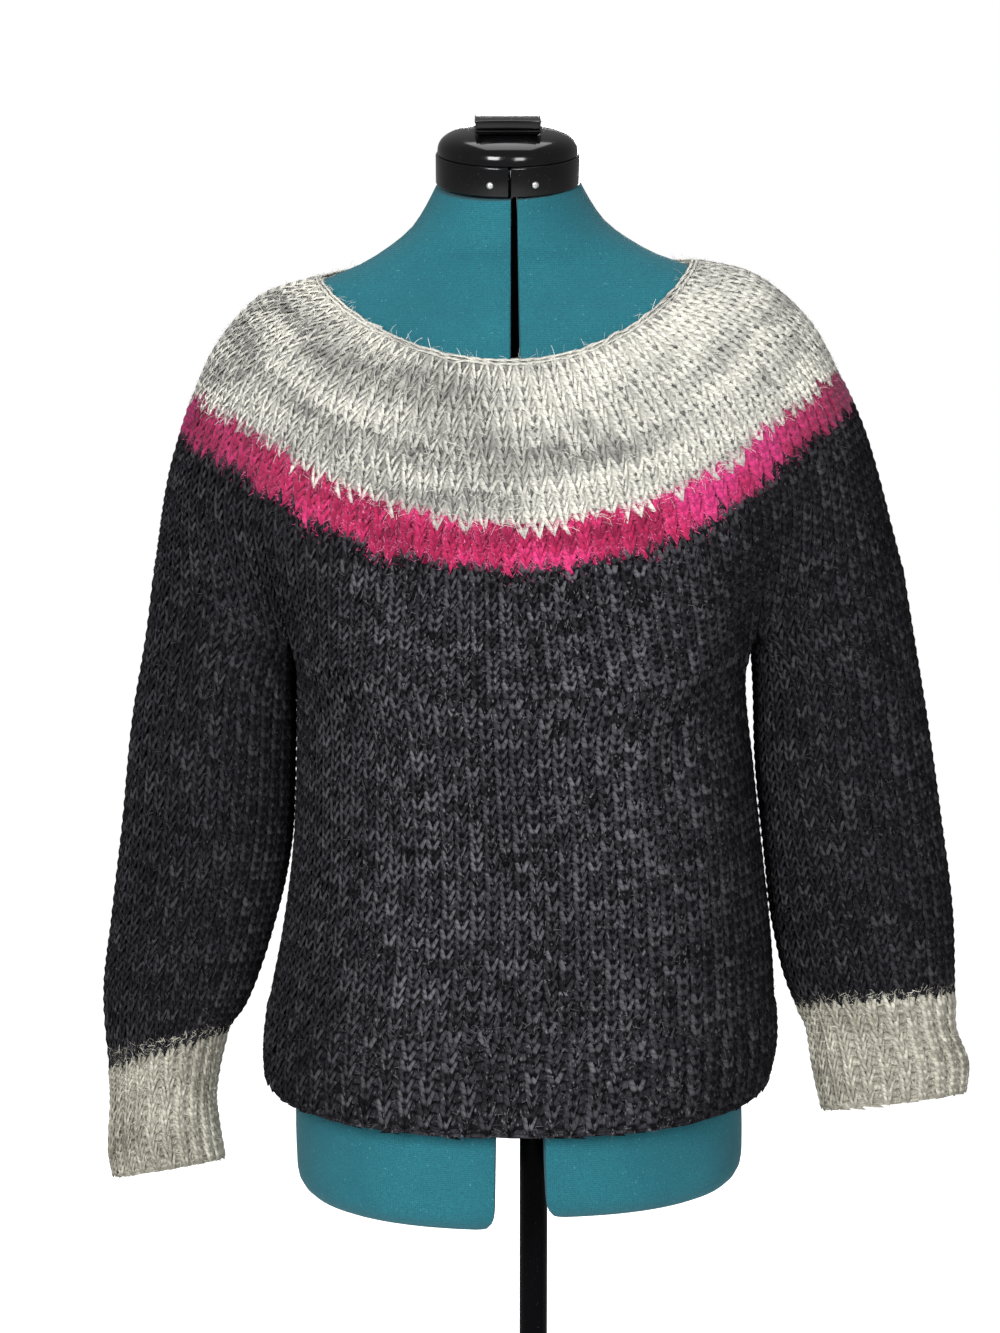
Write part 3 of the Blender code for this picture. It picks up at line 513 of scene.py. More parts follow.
def grid_faces(rows: int, columns: int, start: int = 0, flip: bool = False) -> Array:
    """Quads of a grid of vertices that closes round its columns, listed row by row."""
    i, j = np.meshgrid(np.arange(rows - 1), np.arange(columns), indexing="ij")
    k = (j + 1) % columns
    corners = [i * columns + j, (i + 1) * columns + j, (i + 1) * columns + k, i * columns + k]
    quads = np.stack(corners[::-1] if flip else corners, -1).reshape(-1, 4)
    return quads + start


def lay_map(mesh: Mesh, corners: Array) -> None:
    """Give a mesh its bake map, from a pair of coordinates for each corner."""
    layer = mesh.uv_layers.new(name=BAKE_MAP)
    layer.data.foreach_set("uv", np.asarray(corners, dtype=np.float32).ravel())


def map_copies(mesh: Mesh, sides: int, rings: int, closed: bool) -> None:
    """Give each of many copies of one strand its own cell of the bake map.

    Args:
        mesh: copies of a strand, each with its vertices listed ring by ring.
        sides: vertices in a ring.
        rings: rings along a strand.
        closed: whether a ring closes round the strand and its ends are capped.
    """
    each = sides * rings
    copies = len(mesh.vertices) // each
    corner = whole_numbers(mesh.loops, "vertex_index")
    starts = whole_numbers(mesh.polygons, "loop_start")
    face = np.repeat(np.arange(len(starts)), whole_numbers(mesh.polygons, "loop_total"))
    copy, local = corner // each, corner % each
    ring, side = local // sides, (local % sides).astype(float)
    cap = (np.minimum.reduceat(ring, starts) == np.maximum.reduceat(ring, starts))[face]
    if closed:
        least, most = np.minimum.reduceat(side, starts), np.maximum.reduceat(side, starts)
        wraps = ((most == sides - 1) & (least == 0))[face] & ~cap
        side = np.where(wraps & (side == 0), sides, side)
    span = sides if closed else sides - 1
    u = 0.04 + 0.92 * side / span
    v = 0.04 + (0.7 if closed else 0.92) * ring / (rings - 1)
    angle = 2 * math.pi * side / sides
    u = np.where(cap, np.where(ring == 0, 0.25, 0.75) + 0.1 * np.cos(angle), u)
    v = np.where(cap, 0.88 + 0.1 * np.sin(angle), v)
    across = math.ceil(math.sqrt(copies))
    lay_map(mesh, np.stack([(copy % across + u) / across, (copy // across + v) / across], -1))


# Node trees

Value = Socket | float | int | str | Sequence[float]
Sockets = bpy.types.NodeInputs | bpy.types.NodeOutputs


class Graph:
    """A node tree under construction, with short calls for the nodes used here."""

    def __init__(self, tree: Tree) -> None:
        """Start on a tree."""
        self.tree = tree

    def node(self, kind: str, feeds: dict[str | int, Value] | None = None,
             **settings: object) -> bpy.types.Node:
        """Add a node of a kind, with its settings and with what its inputs get."""
        made = self.tree.nodes.new(kind)
        for key, value in settings.items():
            setattr(made, key, value)
        for key, value in (feeds or {}).items():
            self.feed(made.inputs[key], value)
        return made

    def feed(self, socket: Socket, value: Value) -> None:
        """Link an output to a socket, or set the socket's own value."""
        if isinstance(value, Socket):
            self.tree.links.new(value, socket)
        else:
            socket.default_value = value

    def math(self, operation: str, first: Value, second: Value = 0.0, third: Value = 0.0,
             clamp: bool = False) -> Socket:
        """Add a Math node and return its result."""
        return self.node("ShaderNodeMath", {0: first, 1: second, 2: third}, operation=operation,
                         use_clamp=clamp).outputs[0]

    def blend(self, factor: Value, first: Value, second: Value) -> Socket:
        """Mix two colours by a factor and return the result."""
        feeds = {"Factor": factor}
        for key, value in ((6, first), (7, second)):
            feeds[key] = value if isinstance(value, Socket) else (*value, 1.0)
        return self.node("ShaderNodeMix", feeds, data_type="RGBA", clamp_factor=True).outputs[2]

    def noise(self, vector: Value, scale: Value, detail: float = 2.0) -> Socket:
        """Add a Noise Texture and return its value."""
        feeds = {"Vector": vector, "Scale": scale, "Detail": detail}
        return self.node("ShaderNodeTexNoise", feeds).outputs[0]

    def between(self, value: Value, low: Value, high: Value) -> Socket:
        """Where a value lies between two limits, smoothly from 0 to 1."""
        feeds = {"Value": value, "From Min": low, "From Max": high}
        made = self.node("ShaderNodeMapRange", interpolation_type="SMOOTHSTEP", feeds=feeds)
        return made.outputs["Result"]

    def stretched(self, vector: Value, scale: Value) -> Socket:
        """Coordinates with each axis multiplied."""
        return self.node("ShaderNodeVectorMath", {0: vector, 1: scale},
                         operation="MULTIPLY").outputs[0]

    def vector(self, *numbers: Value) -> Socket:
        """Join up to three numbers into a vector."""
        return self.node("ShaderNodeCombineXYZ", dict(enumerate(numbers))).outputs[0]

    def parts(self, vector: Value) -> Sockets:
        """Split a vector into its three numbers."""
        return self.node("ShaderNodeSeparateXYZ", {0: vector}).outputs

    def place(self) -> Socket:
        """The object's own coordinates, in a material."""
        return self.node("ShaderNodeTexCoord").outputs["Object"]

    def named(self, name: str, output: str = "Vector") -> Socket:
        """Read a named attribute in a material."""
        return self.node("ShaderNodeAttribute", attribute_name=name).outputs[output]

    def stored(self, name: str, kind: str = "FLOAT_VECTOR") -> Socket:
        """Read a named attribute in a geometry tree."""
        made = self.node("GeometryNodeInputNamedAttribute", {"Name": name}, data_type=kind)
        return made.outputs["Attribute"]

    def random(self, low: Value, high: Value, seed: int) -> Socket:
        """Draw a number for each point of a geometry tree."""
        return self.node("FunctionNodeRandomValue", {2: low, 3: high, "Seed": seed},
                         data_type="FLOAT").outputs[1]

    def group(self, tree: Tree, **values: Value) -> Sockets:
        """Place a node group and return its outputs."""
        return self.node("ShaderNodeGroup", values, node_tree=tree).outputs


def new_group(name: str, kind: str, inputs: dict[str, str | float],
              outputs: Sequence[str]) -> tuple[Graph, Sockets, Sockets]:
    """Make a node group with named sockets.

    Args:
        name: the group's name.
        kind: "Shader", whose outputs are numbers, or "Geometry", whose outputs are geometry.
        inputs: each input's first value, or the kind of socket where it has none.
        outputs: each output's name.

    Returns:
        The tree as a graph, what its inputs give and what its outputs take.
    """
    tree = bpy.data.node_groups.new(name, kind + "NodeTree")
    for label, value in inputs.items():
        number = "Int" if isinstance(value, int) else "Float"
        socket = "NodeSocket" + (value if isinstance(value, str) else number)
        made = tree.interface.new_socket(name=label, in_out="INPUT", socket_type=socket)
        if not isinstance(value, str):
            made.default_value = value
    for label in outputs:
        socket = "NodeSocket" + ("Geometry" if kind == "Geometry" else "Float")
        tree.interface.new_socket(name=label, in_out="OUTPUT", socket_type=socket)
    graph = Graph(tree)
    return graph, graph.node("NodeGroupInput").outputs, graph.node("NodeGroupOutput").inputs


class ShaderGroups:
    """The effects that more than one material uses, each built once."""

    def __init__(self) -> None:
        """Build every group."""
        self.cloud = self.build_cloud()
        self.twist = self.build_twist()
        self.grain = self.build_grain()
        self.jersey = self.build_jersey()
        self.wear = self.build_wear()

    def build_cloud(self) -> Tree:
        """Slow changes of a hand-dyed or marled yarn, drawn out along the courses."""
        graph, out, sink = new_group(
            "yarn_cloud", "Shader",
            {"Pattern": "Vector", "Round": 9.0, "Down": 30.0, "Contrast": 2.0}, ["Tone"])
        scale = graph.vector(out["Round"], out["Round"], out["Down"])
        wide = graph.noise(graph.stretched(out["Pattern"], scale), 1.0, 2.5)
        swing = graph.math("MULTIPLY", graph.math("SUBTRACT", wide, 0.5), out["Contrast"])
        graph.feed(sink["Tone"], graph.math("ADD", swing, 0.5, clamp=True))
        return graph.tree

    def build_twist(self) -> Tree:
        """The plies of a twisted strand, from coordinates round and along it."""
        graph, out, sink = new_group(
            "ply_twist", "Shader", {"Strand": "Vector", "Turns": 1.0}, ["Height", "GrooveShade"])
        x, y, z = graph.parts(out["Strand"])
        turn = graph.math("MULTIPLY", z, out["Turns"])
        phase = graph.math("MULTIPLY_ADD", turn, 2 * math.pi, graph.math("ARCTAN2", y, x))
        ridge = graph.math("ABSOLUTE", graph.math("SINE", phase))
        graph.feed(sink["Height"], graph.math("POWER", ridge, 0.6))
        # GrooveShade marks the grooves between the plies, where the stitches take painted shade.
        graph.feed(sink["GrooveShade"], graph.between(ridge, 0.45, 0.0))
        return graph.tree

    def build_grain(self) -> Tree:
        """Single fibres and flecks of a woollen surface."""
        graph, out, sink = new_group(
            "fibre_grain", "Shader", {"Place": "Vector", "Scale": 700.0, "Fleck": 0.6},
            ["Height", "Flecks"])
        fine = graph.noise(graph.stretched(out["Place"], (1.0, 1.0, 0.45)), out["Scale"], 3.0)
        coarse = graph.noise(out["Place"], graph.math("MULTIPLY", out["Scale"], 0.31), 2.0)
        both = graph.math("MULTIPLY_ADD", fine, 0.6, graph.math("MULTIPLY", coarse, 0.4))
        high = graph.math("ADD", out["Fleck"], 0.12)
        graph.feed(sink["Height"], fine)
        graph.feed(sink["Flecks"], graph.between(both, out["Fleck"], high))
        return graph.tree

    def build_jersey(self) -> Tree:
        """Fine machine knitting: wales and courses as two crossed waves, with lint on it."""
        graph, out, sink = new_group(
            "fine_jersey", "Shader", {"Place": "Vector", "Pitch": 0.0014},
            ["Height", "Lint", "Rub"])
        place = out["Place"]
        x, _, z = graph.parts(place)
        rate = graph.math("DIVIDE", 2 * math.pi, out["Pitch"])
        wobble = graph.math("MULTIPLY", graph.noise(place, 160.0), 3.0)
        courses, wales = [graph.math("SINE", graph.math("MULTIPLY_ADD", way, rate, wobble))
                          for way in (z, x)]
        height = graph.math("MULTIPLY_ADD", wales, 0.06, graph.math("MULTIPLY", courses, 0.1))
        graph.feed(sink["Height"], graph.math("ADD", height, graph.noise(place, 800.0, 3.0)))
        graph.feed(sink["Lint"], graph.between(graph.noise(place, 640.0, 1.0), 0.69, 0.82))
        graph.feed(sink["Rub"], graph.noise(place, 14.0, 3.0))
        return graph.tree

    def build_wear(self) -> Tree:
        """Smears and dust on plastic and paint, as changes of roughness and tone."""
        graph, out, sink = new_group(
            "handled_surface", "Shader", {"Place": "Vector", "Low": 0.15, "High": 0.3},
            ["Roughness", "Dust", "Height"])
        place, low = out["Place"], out["Low"]
        span = graph.math("SUBTRACT", out["High"], low)
        smear = graph.math("MULTIPLY_ADD", graph.noise(place, 45.0, 4.0), span, low)
        graph.feed(sink["Roughness"], smear)
        graph.feed(sink["Dust"], graph.between(graph.noise(place, 1100.0, 1.0), 0.72, 0.8))
        graph.feed(sink["Height"], graph.noise(place, 260.0, 3.0))
        return graph.tree


# Finishes


def principled(name: str, **values: float) -> tuple[Material, Graph, Sockets]:
    """A material with a Principled shader.

    Args:
        name: the material's name.
        values: the shader's constants, with _ for each space.

    Returns:
        The material, its node tree as a graph and the shader's inputs.
    """
    made = bpy.data.materials.new(name)
    made.use_nodes = True
    shader = made.node_tree.nodes["Principled BSDF"].inputs
    for label, value in values.items():
        shader[label.replace("_", " ")].default_value = value
    return made, Graph(made.node_tree), shader


def add_bump(graph: Graph, shader: Sockets, height: Value, depth: float) -> None:
    """Raise a surface by a height, through its shader's normal."""
    feeds = {"Strength": 1.0, "Distance": depth, "Height": height}
    graph.feed(shader["Normal"], graph.node("ShaderNodeBump", feeds).outputs[0])


@dataclass(frozen=True)
class Wool:
    """One colour of knitting wool: its tones, how they drift, and its nap."""

    name: str
    deep: Colour
    body: Colour
    light: Colour
    fleck: Colour
    drift: float = 0.5  # share of the tone that changes slowly along the yarn
    contrast: float = 2.0
    round_scale: float = 9.0
    down_scale: float = 30.0
    fleck_level: float = 0.6
    sheen: float = 0.03
    turns: float = 0.9
    dip_shade: float = 0.8  # painted shade: how much darker a stitch is where it dips under the next
    second: Colour | None = None  # a second dye that takes over in patches
    arms: Colour | None = None  # painted shade: a darker colour that takes over towards the arms, where the light falls off
    side_shade_reach: tuple[float, float] = (0.1, 0.22)
    side_shade_share: float = 0.62  # how far the painted shade takes over
    gloss: float = 0.12
    shaded_ground: float = 0.55  # painted shade: how dark the cloth lies behind the stitches

    def coloured(self, graph: Graph, groups: ShaderGroups, own: Value) -> Socket:
        """The wool's colour, from a strand's own tone and the slow drift of the yarn."""
        net = graph.named("net")
        cloud = graph.group(groups.cloud, Pattern=net, Round=self.round_scale,
                            Down=self.down_scale, Contrast=self.contrast)
        slow = graph.math("MULTIPLY", cloud["Tone"], self.drift)
        tone = graph.math("MULTIPLY_ADD", own, 1 - self.drift, slow)
        low = graph.blend(graph.math("MULTIPLY", tone, 2.0, clamp=True), self.deep, self.body)
        high = graph.math("MULTIPLY_ADD", tone, 2.0, -1.0, clamp=True)
        colour = graph.blend(high, low, self.light)
        if self.second:
            patch = graph.between(graph.noise(net, 13.0, 2.0), 0.5, 0.66)
            colour = graph.blend(patch, colour, self.second)
        return colour

    def side_shaded(self, graph: Graph, colour: Socket) -> Socket:
        """The colour, darkened towards the arms as painted shade, where the light falls off to the
        sides.
        """
        if not self.arms:
            return colour
        # Painted shade: the colour turns darker with distance from the form's middle.
        across = graph.math("SUBTRACT", graph.parts(graph.place())[0], FORM_X)
        edge = graph.between(graph.math("ABSOLUTE", across), *self.side_shade_reach)
        return graph.blend(graph.math("MULTIPLY", edge, self.side_shade_share), colour, self.arms)

    def stitch_material(self, groups: ShaderGroups) -> Material:
        """The finish of the stitches: plies, single fibres and flecks over the yarn's colour, with
        painted shade in the ply grooves and where each leg dips under the next.
        """
        made, graph, shader = principled(
            self.name + "_yarn", Roughness=0.92, Specular_IOR_Level=self.gloss,
            Sheen_Weight=self.sheen, Sheen_Roughness=0.6)
        colour = self.coloured(graph, groups, graph.named("tone", "Fac"))
        strand = graph.named("strand")
        twist = graph.group(groups.twist, Strand=strand, Turns=self.turns)
        grain = graph.group(groups.grain, Place=graph.place(), Fleck=self.fleck_level)
        # Painted shade: darker in the grooves between the plies and towards each leg's ends, where
        # it dips under the next stitch.
        ends = graph.between(graph.math("ABSOLUTE", graph.parts(strand)[2]), 0.24, 0.5)
        painted_shade = graph.math("MAXIMUM", graph.math("MULTIPLY", twist["GrooveShade"], 0.45),
                            graph.math("MULTIPLY", ends, self.dip_shade))
        colour = graph.blend(painted_shade, colour, self.deep)
        colour = graph.blend(grain["Flecks"], colour, self.fleck)
        graph.feed(shader["Base Color"], self.side_shaded(graph, colour))
        height = graph.math("MULTIPLY_ADD", twist["Height"], 0.7, grain["Height"])
        add_bump(graph, shader, height, 0.0007)
        return made

    def ground_material(self, groups: ShaderGroups) -> Material:
        """The finish of the cloth seen between and behind the stitches, darkened towards the deep
        tone as painted shade.
        """
        made, graph, shader = principled(self.name + "_ground", Roughness=0.95,
                                         Specular_IOR_Level=0.1, Sheen_Weight=self.sheen / 2)
        grain = graph.group(groups.grain, Place=graph.place(), Scale=420.0, Fleck=self.fleck_level)
        # Painted shade: the cloth between the stitches is mixed towards the deep tone.
        colour = graph.blend(self.shaded_ground, self.coloured(graph, groups, 0.2), self.deep)
        colour = graph.blend(graph.math("MULTIPLY", grain["Flecks"], 0.4), colour, self.body)
        graph.feed(shader["Base Color"], self.side_shaded(graph, colour))
        add_bump(graph, shader, grain["Height"], 0.0016)
        return made

    def fibre_material(self, groups: ShaderGroups) -> Material:
        """The finish of loose fibres: the yarn's colour, lighter at random."""
        made, graph, shader = principled(self.name + "_fibre", Roughness=0.75,
                                         Specular_IOR_Level=0.25)
        own = graph.named("tone", "Fac")
        colour = graph.blend(graph.between(own, 0.55, 1.0), self.coloured(graph, groups, own),
                             self.fleck)
        graph.feed(shader["Base Color"], self.side_shaded(graph, colour))
        return made


@dataclass(frozen=True)
class Jersey:
    """The fine knitted cover of the dress form."""

    name: str
    deep: Colour
    body: Colour
    lint: Colour

    def material(self, groups: ShaderGroups) -> Material:
        """Fine courses, a slight change of colour where it is rubbed, painted shade in the knit's
        low parts, and a little lint.
        """
        made, graph, shader = principled(self.name, Roughness=0.85, Specular_IOR_Level=0.1,
                                         Sheen_Weight=0.05, Sheen_Roughness=0.5)
        knit = graph.group(groups.jersey, Place=graph.place())
        colour = graph.blend(knit["Rub"], self.deep, self.body)
        # Darker where the knit's height is low: painted shade in the hollows of the fine knit, with
        # random mottling from the noise in that height.
        colour = graph.blend(graph.between(knit["Height"], 0.1, 0.9), self.deep, colour)
        colour = graph.blend(graph.math("MULTIPLY", knit["Lint"], 0.6), colour, self.lint)
        graph.feed(shader["Base Color"], colour)
        add_bump(graph, shader, knit["Height"], 0.00035)
        return made


@dataclass(frozen=True)
class Moulded:
    """Plastic or painted metal, with handling marks and a little dust."""

    name: str
    colour: Colour
    low: float  # least roughness
    high: float  # and most
    metallic: float = 0.0
    coat: float = 0.0
    pebble: float = 0.0
    specular: float = 0.5
    dust: Colour = (0.4, 0.4, 0.38)

    def material(self, groups: ShaderGroups) -> Material:
        """The surface, with roughness that varies and specks of dust."""
        made, graph, shader = principled(
            self.name, Metallic=self.metallic, Specular_IOR_Level=self.specular,
            Coat_Weight=self.coat, Coat_Roughness=0.06)
        wear = graph.group(groups.wear, Place=graph.place(), Low=self.low, High=self.high)
        specks = graph.math("MULTIPLY", wear["Dust"], 0.12)
        graph.feed(shader["Base Color"], graph.blend(specks, self.colour, self.dust))
        graph.feed(shader["Roughness"], wear["Roughness"])
        if self.pebble:
            add_bump(graph, shader, wear["Height"], self.pebble)
        return made


# Geometry node trees


def grown(piece: Piece, tree: Tree, name: str, **values: object) -> Piece:
    """Run a geometry node tree on a guide and keep the result as a plain mesh.

    Args:
        piece: the guide, which is deleted.
        tree: the tree.
        name: the new piece's name.
        values: the tree's inputs.

    Returns:
        The new piece, at the origin and without a modifier.
    """
    modifier = piece.modifiers.new("grow", "NODES")
    modifier.node_group = tree
    for item in tree.interface.items_tree:
        if item.name in values:
            modifier[item.identifier] = values[item.name]
    graph = bpy.context.evaluated_depsgraph_get()
    mesh = bpy.data.meshes.new_from_object(piece.evaluated_get(graph), depsgraph=graph)
    mesh.name = name
    bpy.data.objects.remove(piece, do_unlink=True)
    return add_object(name, mesh)


def bent_line(graph: Graph, start: Vec3, end: Vec3, bow: Vec3,
              cuts: Value) -> tuple[Socket, Socket]:
    """Add a line that bows out in the middle.

    Args:
        graph: the tree it is added to.
        start: where the line starts.
        end: where it ends.
        bow: how far its middle lies off the straight.
        cuts: how many points lie between its ends.

    Returns:
        The curve, and each point's share of the way along it.
    """
    line = graph.node("GeometryNodeCurvePrimitiveLine", {"Start": start, "End": end})
    cut = graph.node("GeometryNodeSubdivideCurve", {"Curve": line.outputs[0], "Cuts": cuts})
    share = graph.node("GeometryNodeSplineParameter").outputs["Factor"]
    rise = graph.math("SUBTRACT", 4.0, graph.math("MULTIPLY", share, 4.0))
    rise = graph.math("MULTIPLY", share, rise)
    offset = graph.vector(*[graph.math("MULTIPLY", rise, most) for most in bow])
    moved = graph.node("GeometryNodeSetPosition", {"Geometry": cut.outputs[0], "Offset": offset})
    return moved.outputs[0], share


def finish_tree(graph: Graph, instances: Value, finish: Value, sink: Socket) -> None:
    """End a geometry tree: make the instances real and give them their material."""
    real = graph.node("GeometryNodeRealizeInstances", {0: instances})
    dressed = graph.node("GeometryNodeSetMaterial",
                         {"Geometry": real.outputs[0], "Material": finish})
    graph.feed(sink, dressed.outputs[0])


def build_leg_tree() -> Tree:
    """A tree that lays one plump bent strand on every guide point, for the legs of stitches."""
    graph, out, sink = new_group(
        "stitch_legs", "Geometry",
        {"Guide": "Geometry", "Sides": 4, "Tip": 0.3, "Finish": "Material"}, ["Legs"])
    path, share = bent_line(graph, (0.0, 0.0, -0.5), (0.0, 0.0, 0.5), (0.5, 0.0, 0.0), 2)
    swell = graph.math("POWER", graph.math("SINE", graph.math("MULTIPLY", share, math.pi)), 0.45)
    swell = graph.math("MAXIMUM", graph.math("MULTIPLY", swell, 1.06), out["Tip"])
    thick = graph.node("GeometryNodeSetCurveRadius", {"Curve": path, "Radius": swell})
    outline = graph.node("GeometryNodeCurvePrimitiveCircle",
                         {"Resolution": out["Sides"], "Radius": 0.5})
    strand = graph.node("GeometryNodeCurveToMesh", {
        "Curve": thick.outputs[0], "Profile Curve": outline.outputs[0], "Fill Caps": True})
    kept = graph.node("GeometryNodeStoreNamedAttribute", {
        "Geometry": strand.outputs[0], "Name": "strand",
        "Value": graph.node("GeometryNodeInputPosition").outputs[0]}, data_type="FLOAT_VECTOR")
    smooth = graph.node("GeometryNodeSetShadeSmooth", {0: kept.outputs[0]})
    first = graph.node("FunctionNodeAlignRotationToVector", {"Vector": graph.stored("aim")},
                       axis="Z")
    second = graph.node("FunctionNodeAlignRotationToVector", {
        "Rotation": first.outputs[0], "Vector": graph.stored("out")}, axis="X", pivot_axis="Z")
    placed = graph.node("GeometryNodeInstanceOnPoints", {
        "Points": out["Guide"], "Instance": smooth.outputs[0], "Rotation": second.outputs[0],
        "Scale": graph.stored("size")})
    finish_tree(graph, placed.outputs[0], out["Finish"], sink["Legs"])
    return graph.tree


def build_fibre_tree() -> Tree:
    """A tree that grows loose bent fibres all over a surface."""
    graph, out, sink = new_group(
        "loose_fibres", "Geometry",
        {"Surface": "Geometry", "Density": 50000.0, "Short": 0.004, "Long": 0.009, "Lean": 1.2,
         "Width": 0.02, "Bends": 0, "Seed": 1, "Finish": "Material"}, ["Fibres"])
    density = graph.math("MULTIPLY", graph.stored("coat", "FLOAT"), out["Density"])
    roots = graph.node("GeometryNodeDistributePointsOnFaces", {
        "Mesh": out["Surface"], "Density": density, "Seed": out["Seed"]},
        distribute_method="RANDOM")
    path, share = bent_line(graph, (0.0, 0.0, 0.0), (0.0, 0.62, 0.74), (0.0, -0.1, 0.12),
                            out["Bends"])
    thin = graph.node("GeometryNodeSetCurveRadius", {
        "Curve": path, "Radius": graph.math("MULTIPLY_ADD", share, -0.6, 1.0)})
    half = graph.math("MULTIPLY", out["Width"], 0.5)
    flat = graph.node("GeometryNodeCurvePrimitiveLine", {
        "Start": graph.vector(graph.math("MULTIPLY", half, -1.0)), "End": graph.vector(half)})
    hair = graph.node("GeometryNodeCurveToMesh", {
        "Curve": thin.outputs[0], "Profile Curve": flat.outputs[0]})
    most = graph.math("MULTIPLY", out["Lean"], -1.0)
    lean = graph.random(most, graph.math("ADD", most, 0.55), 3)
    spin = graph.vector(lean, 0.0, graph.random(0.0, 2 * math.pi, 7))
    turned = graph.node("FunctionNodeRotateRotation", {
        "Rotation": roots.outputs["Rotation"],
        "Rotate By": graph.node("FunctionNodeEulerToRotation", {0: spin}).outputs[0]},
        rotation_space="LOCAL")
    placed = graph.node("GeometryNodeInstanceOnPoints", {
        "Points": roots.outputs["Points"], "Instance": hair.outputs[0],
        "Rotation": turned.outputs[0], "Scale": graph.random(out["Short"], out["Long"], 11)})
    kept = graph.node("GeometryNodeStoreNamedAttribute", {
        "Geometry": placed.outputs[0], "Name": "tone", "Value": graph.random(0.0, 1.0, 13)},
        data_type="FLOAT", domain="INSTANCE")
    finish_tree(graph, kept.outputs[0], out["Finish"], sink["Fibres"])
    return graph.tree


# The pullover


@dataclass(frozen=True)
class Knit:
    """How a stretch of plain stitches is knitted: its gauge and the form of its legs."""

    top: float  # levels between which it lies
    low: float
    counts: tuple[int, ...]  # wales in each strip of the tube
    course: float = 0.0072  # height of a course
    girth: float = 0.0036  # thickness of the strand, out of the cloth
    leg: float = 0.45  # width of a leg, as a share of a wale
    reach: float = 1.32  # length of a leg, as a share of a course
    foot: float = 0.06  # how far apart the two legs are below, as shares of a wale
    head: float = 0.41  # and above
    sink: float = 0.0024  # depth of a leg's middle under the net
    tilt: float = 0.002  # how much further out its foot lies than its head
    uneven: float = 0.07  # hand knitting's unevenness


@dataclass(frozen=True)
class Bar:
    """A strand laid once for each stitch, across the wale or along it."""

    span: float  # half its length, as a share of a wale or a course
    thick: float  # its width, as a share of a course or a wale, or 1 to be round
    girth: float  # its thickness, as a share of the strand's
    tone: float
    skew: float
    upright: bool = False  # whether it lies along the wale


PURL = Bar(span=0.3, thick=0.92, girth=0.8, tone=0.3, skew=0.16)
# Dark upright strands in the slits of open knitting: painted shade for the holes.
SLIT_SHADE = Bar(span=0.3, thick=0.3, girth=1.3, tone=-0.95, skew=0.25, upright=True)
CHAIN = Bar(span=0.62, thick=1.0, girth=0.8, tone=0.38, skew=0.1)
UPPER_CHAIN = np.array([0.03, 0.09])  # levels of an open edge's chain, under its top
LOWER_CHAIN = np.array([0.12, 0.04])  # and over its lower end
EDGE_SEEDS = {3: 5, 4: 9}  # drift seeds of the two lines between the yoke's yarns
LACY_BELOW = 0.0025  # strands thinner than this leave open slits between them, filled with dark strands as painted shade
ARMS = ("left", "right")


@dataclass(frozen=True)
class Coat:
    """Loose fibres over a stretch of cloth."""

    density: float  # for each square metre
    short: float
    long: float
    lean: float
    width: float  # of a fibre, as a share of its length
    bends: int = 0  # how many points it bends at
    fringe: float = 0.0  # how much denser it grows where its yarn ends


class Guides:
    """Guide points for strands, gathered a grid at a time."""

    def __init__(self) -> None:
        """Start without points."""
        self.lists = {key: [] for key in ("place", "aim", "out", "size", "tone", "net")}

    def add(self, foot: Array, head: Array, out: Array, width: Array, girth: float,
            tone: Array, net: Array) -> None:
        """Add strands from their two ends; every argument but the girth is a grid."""
        aim = head - foot
        length = np.linalg.norm(aim, axis=-1)
        size = np.stack([np.full(length.shape, girth), width, length], -1)
        grids = ((foot + head) / 2, aim, out, size, tone, net)
        for kept, grid in zip(self.lists.values(), grids):
            kept.append(grid.reshape(length.size, *grid.shape[2:]))

    def joined(self) -> dict[str, Array]:
        """Every list as one array, by name."""
        return {key: np.concatenate(grids) for key, grids in self.lists.items()}


@dataclass(frozen=True)
class Cloth:
    """One piece of the knitting: where it lies, what it is knitted of, and what it replaces."""

    name: str
    tube: str
    top: float
    low: float
    wool: Wool
    slot: str
    coat: Coat
    shell: tuple[int, ...]  # columns of the shell in each strip
    open_above: bool = False
    open_below: bool = False
    ribs: int = 0
    rib_rise: float = 0.0

    @property
    def nodes(self) -> tuple[str, ...]:
        """The CAD nodes that it stands for; each has stitches of its own."""
        return ("front", "back") if self.name == "body" else (self.name,)


def drift(turn: Array, seed: int, waves: int = 7) -> Array:
    """A smooth uneven value round a tube, about -1 to 1."""
    rng = np.random.default_rng(seed)
    total = np.zeros_like(turn)
    for k in range(1, waves + 1):
        rate = rng.integers(2, 5 * waves)
        total = total + math.sin(k) * np.sin(2 * math.pi * (rate * turn + rng.random()))
    return total / math.sqrt(waves)


MARL = Wool("marl", deep=(0.125, 0.123, 0.116), body=(0.54, 0.53, 0.48), light=(0.79, 0.77, 0.68),
            fleck=(0.8, 0.78, 0.71), drift=0.62, contrast=3.3, round_scale=11.0, down_scale=38.0,
            dip_shade=0.18, sheen=0.06, shaded_ground=0.15)
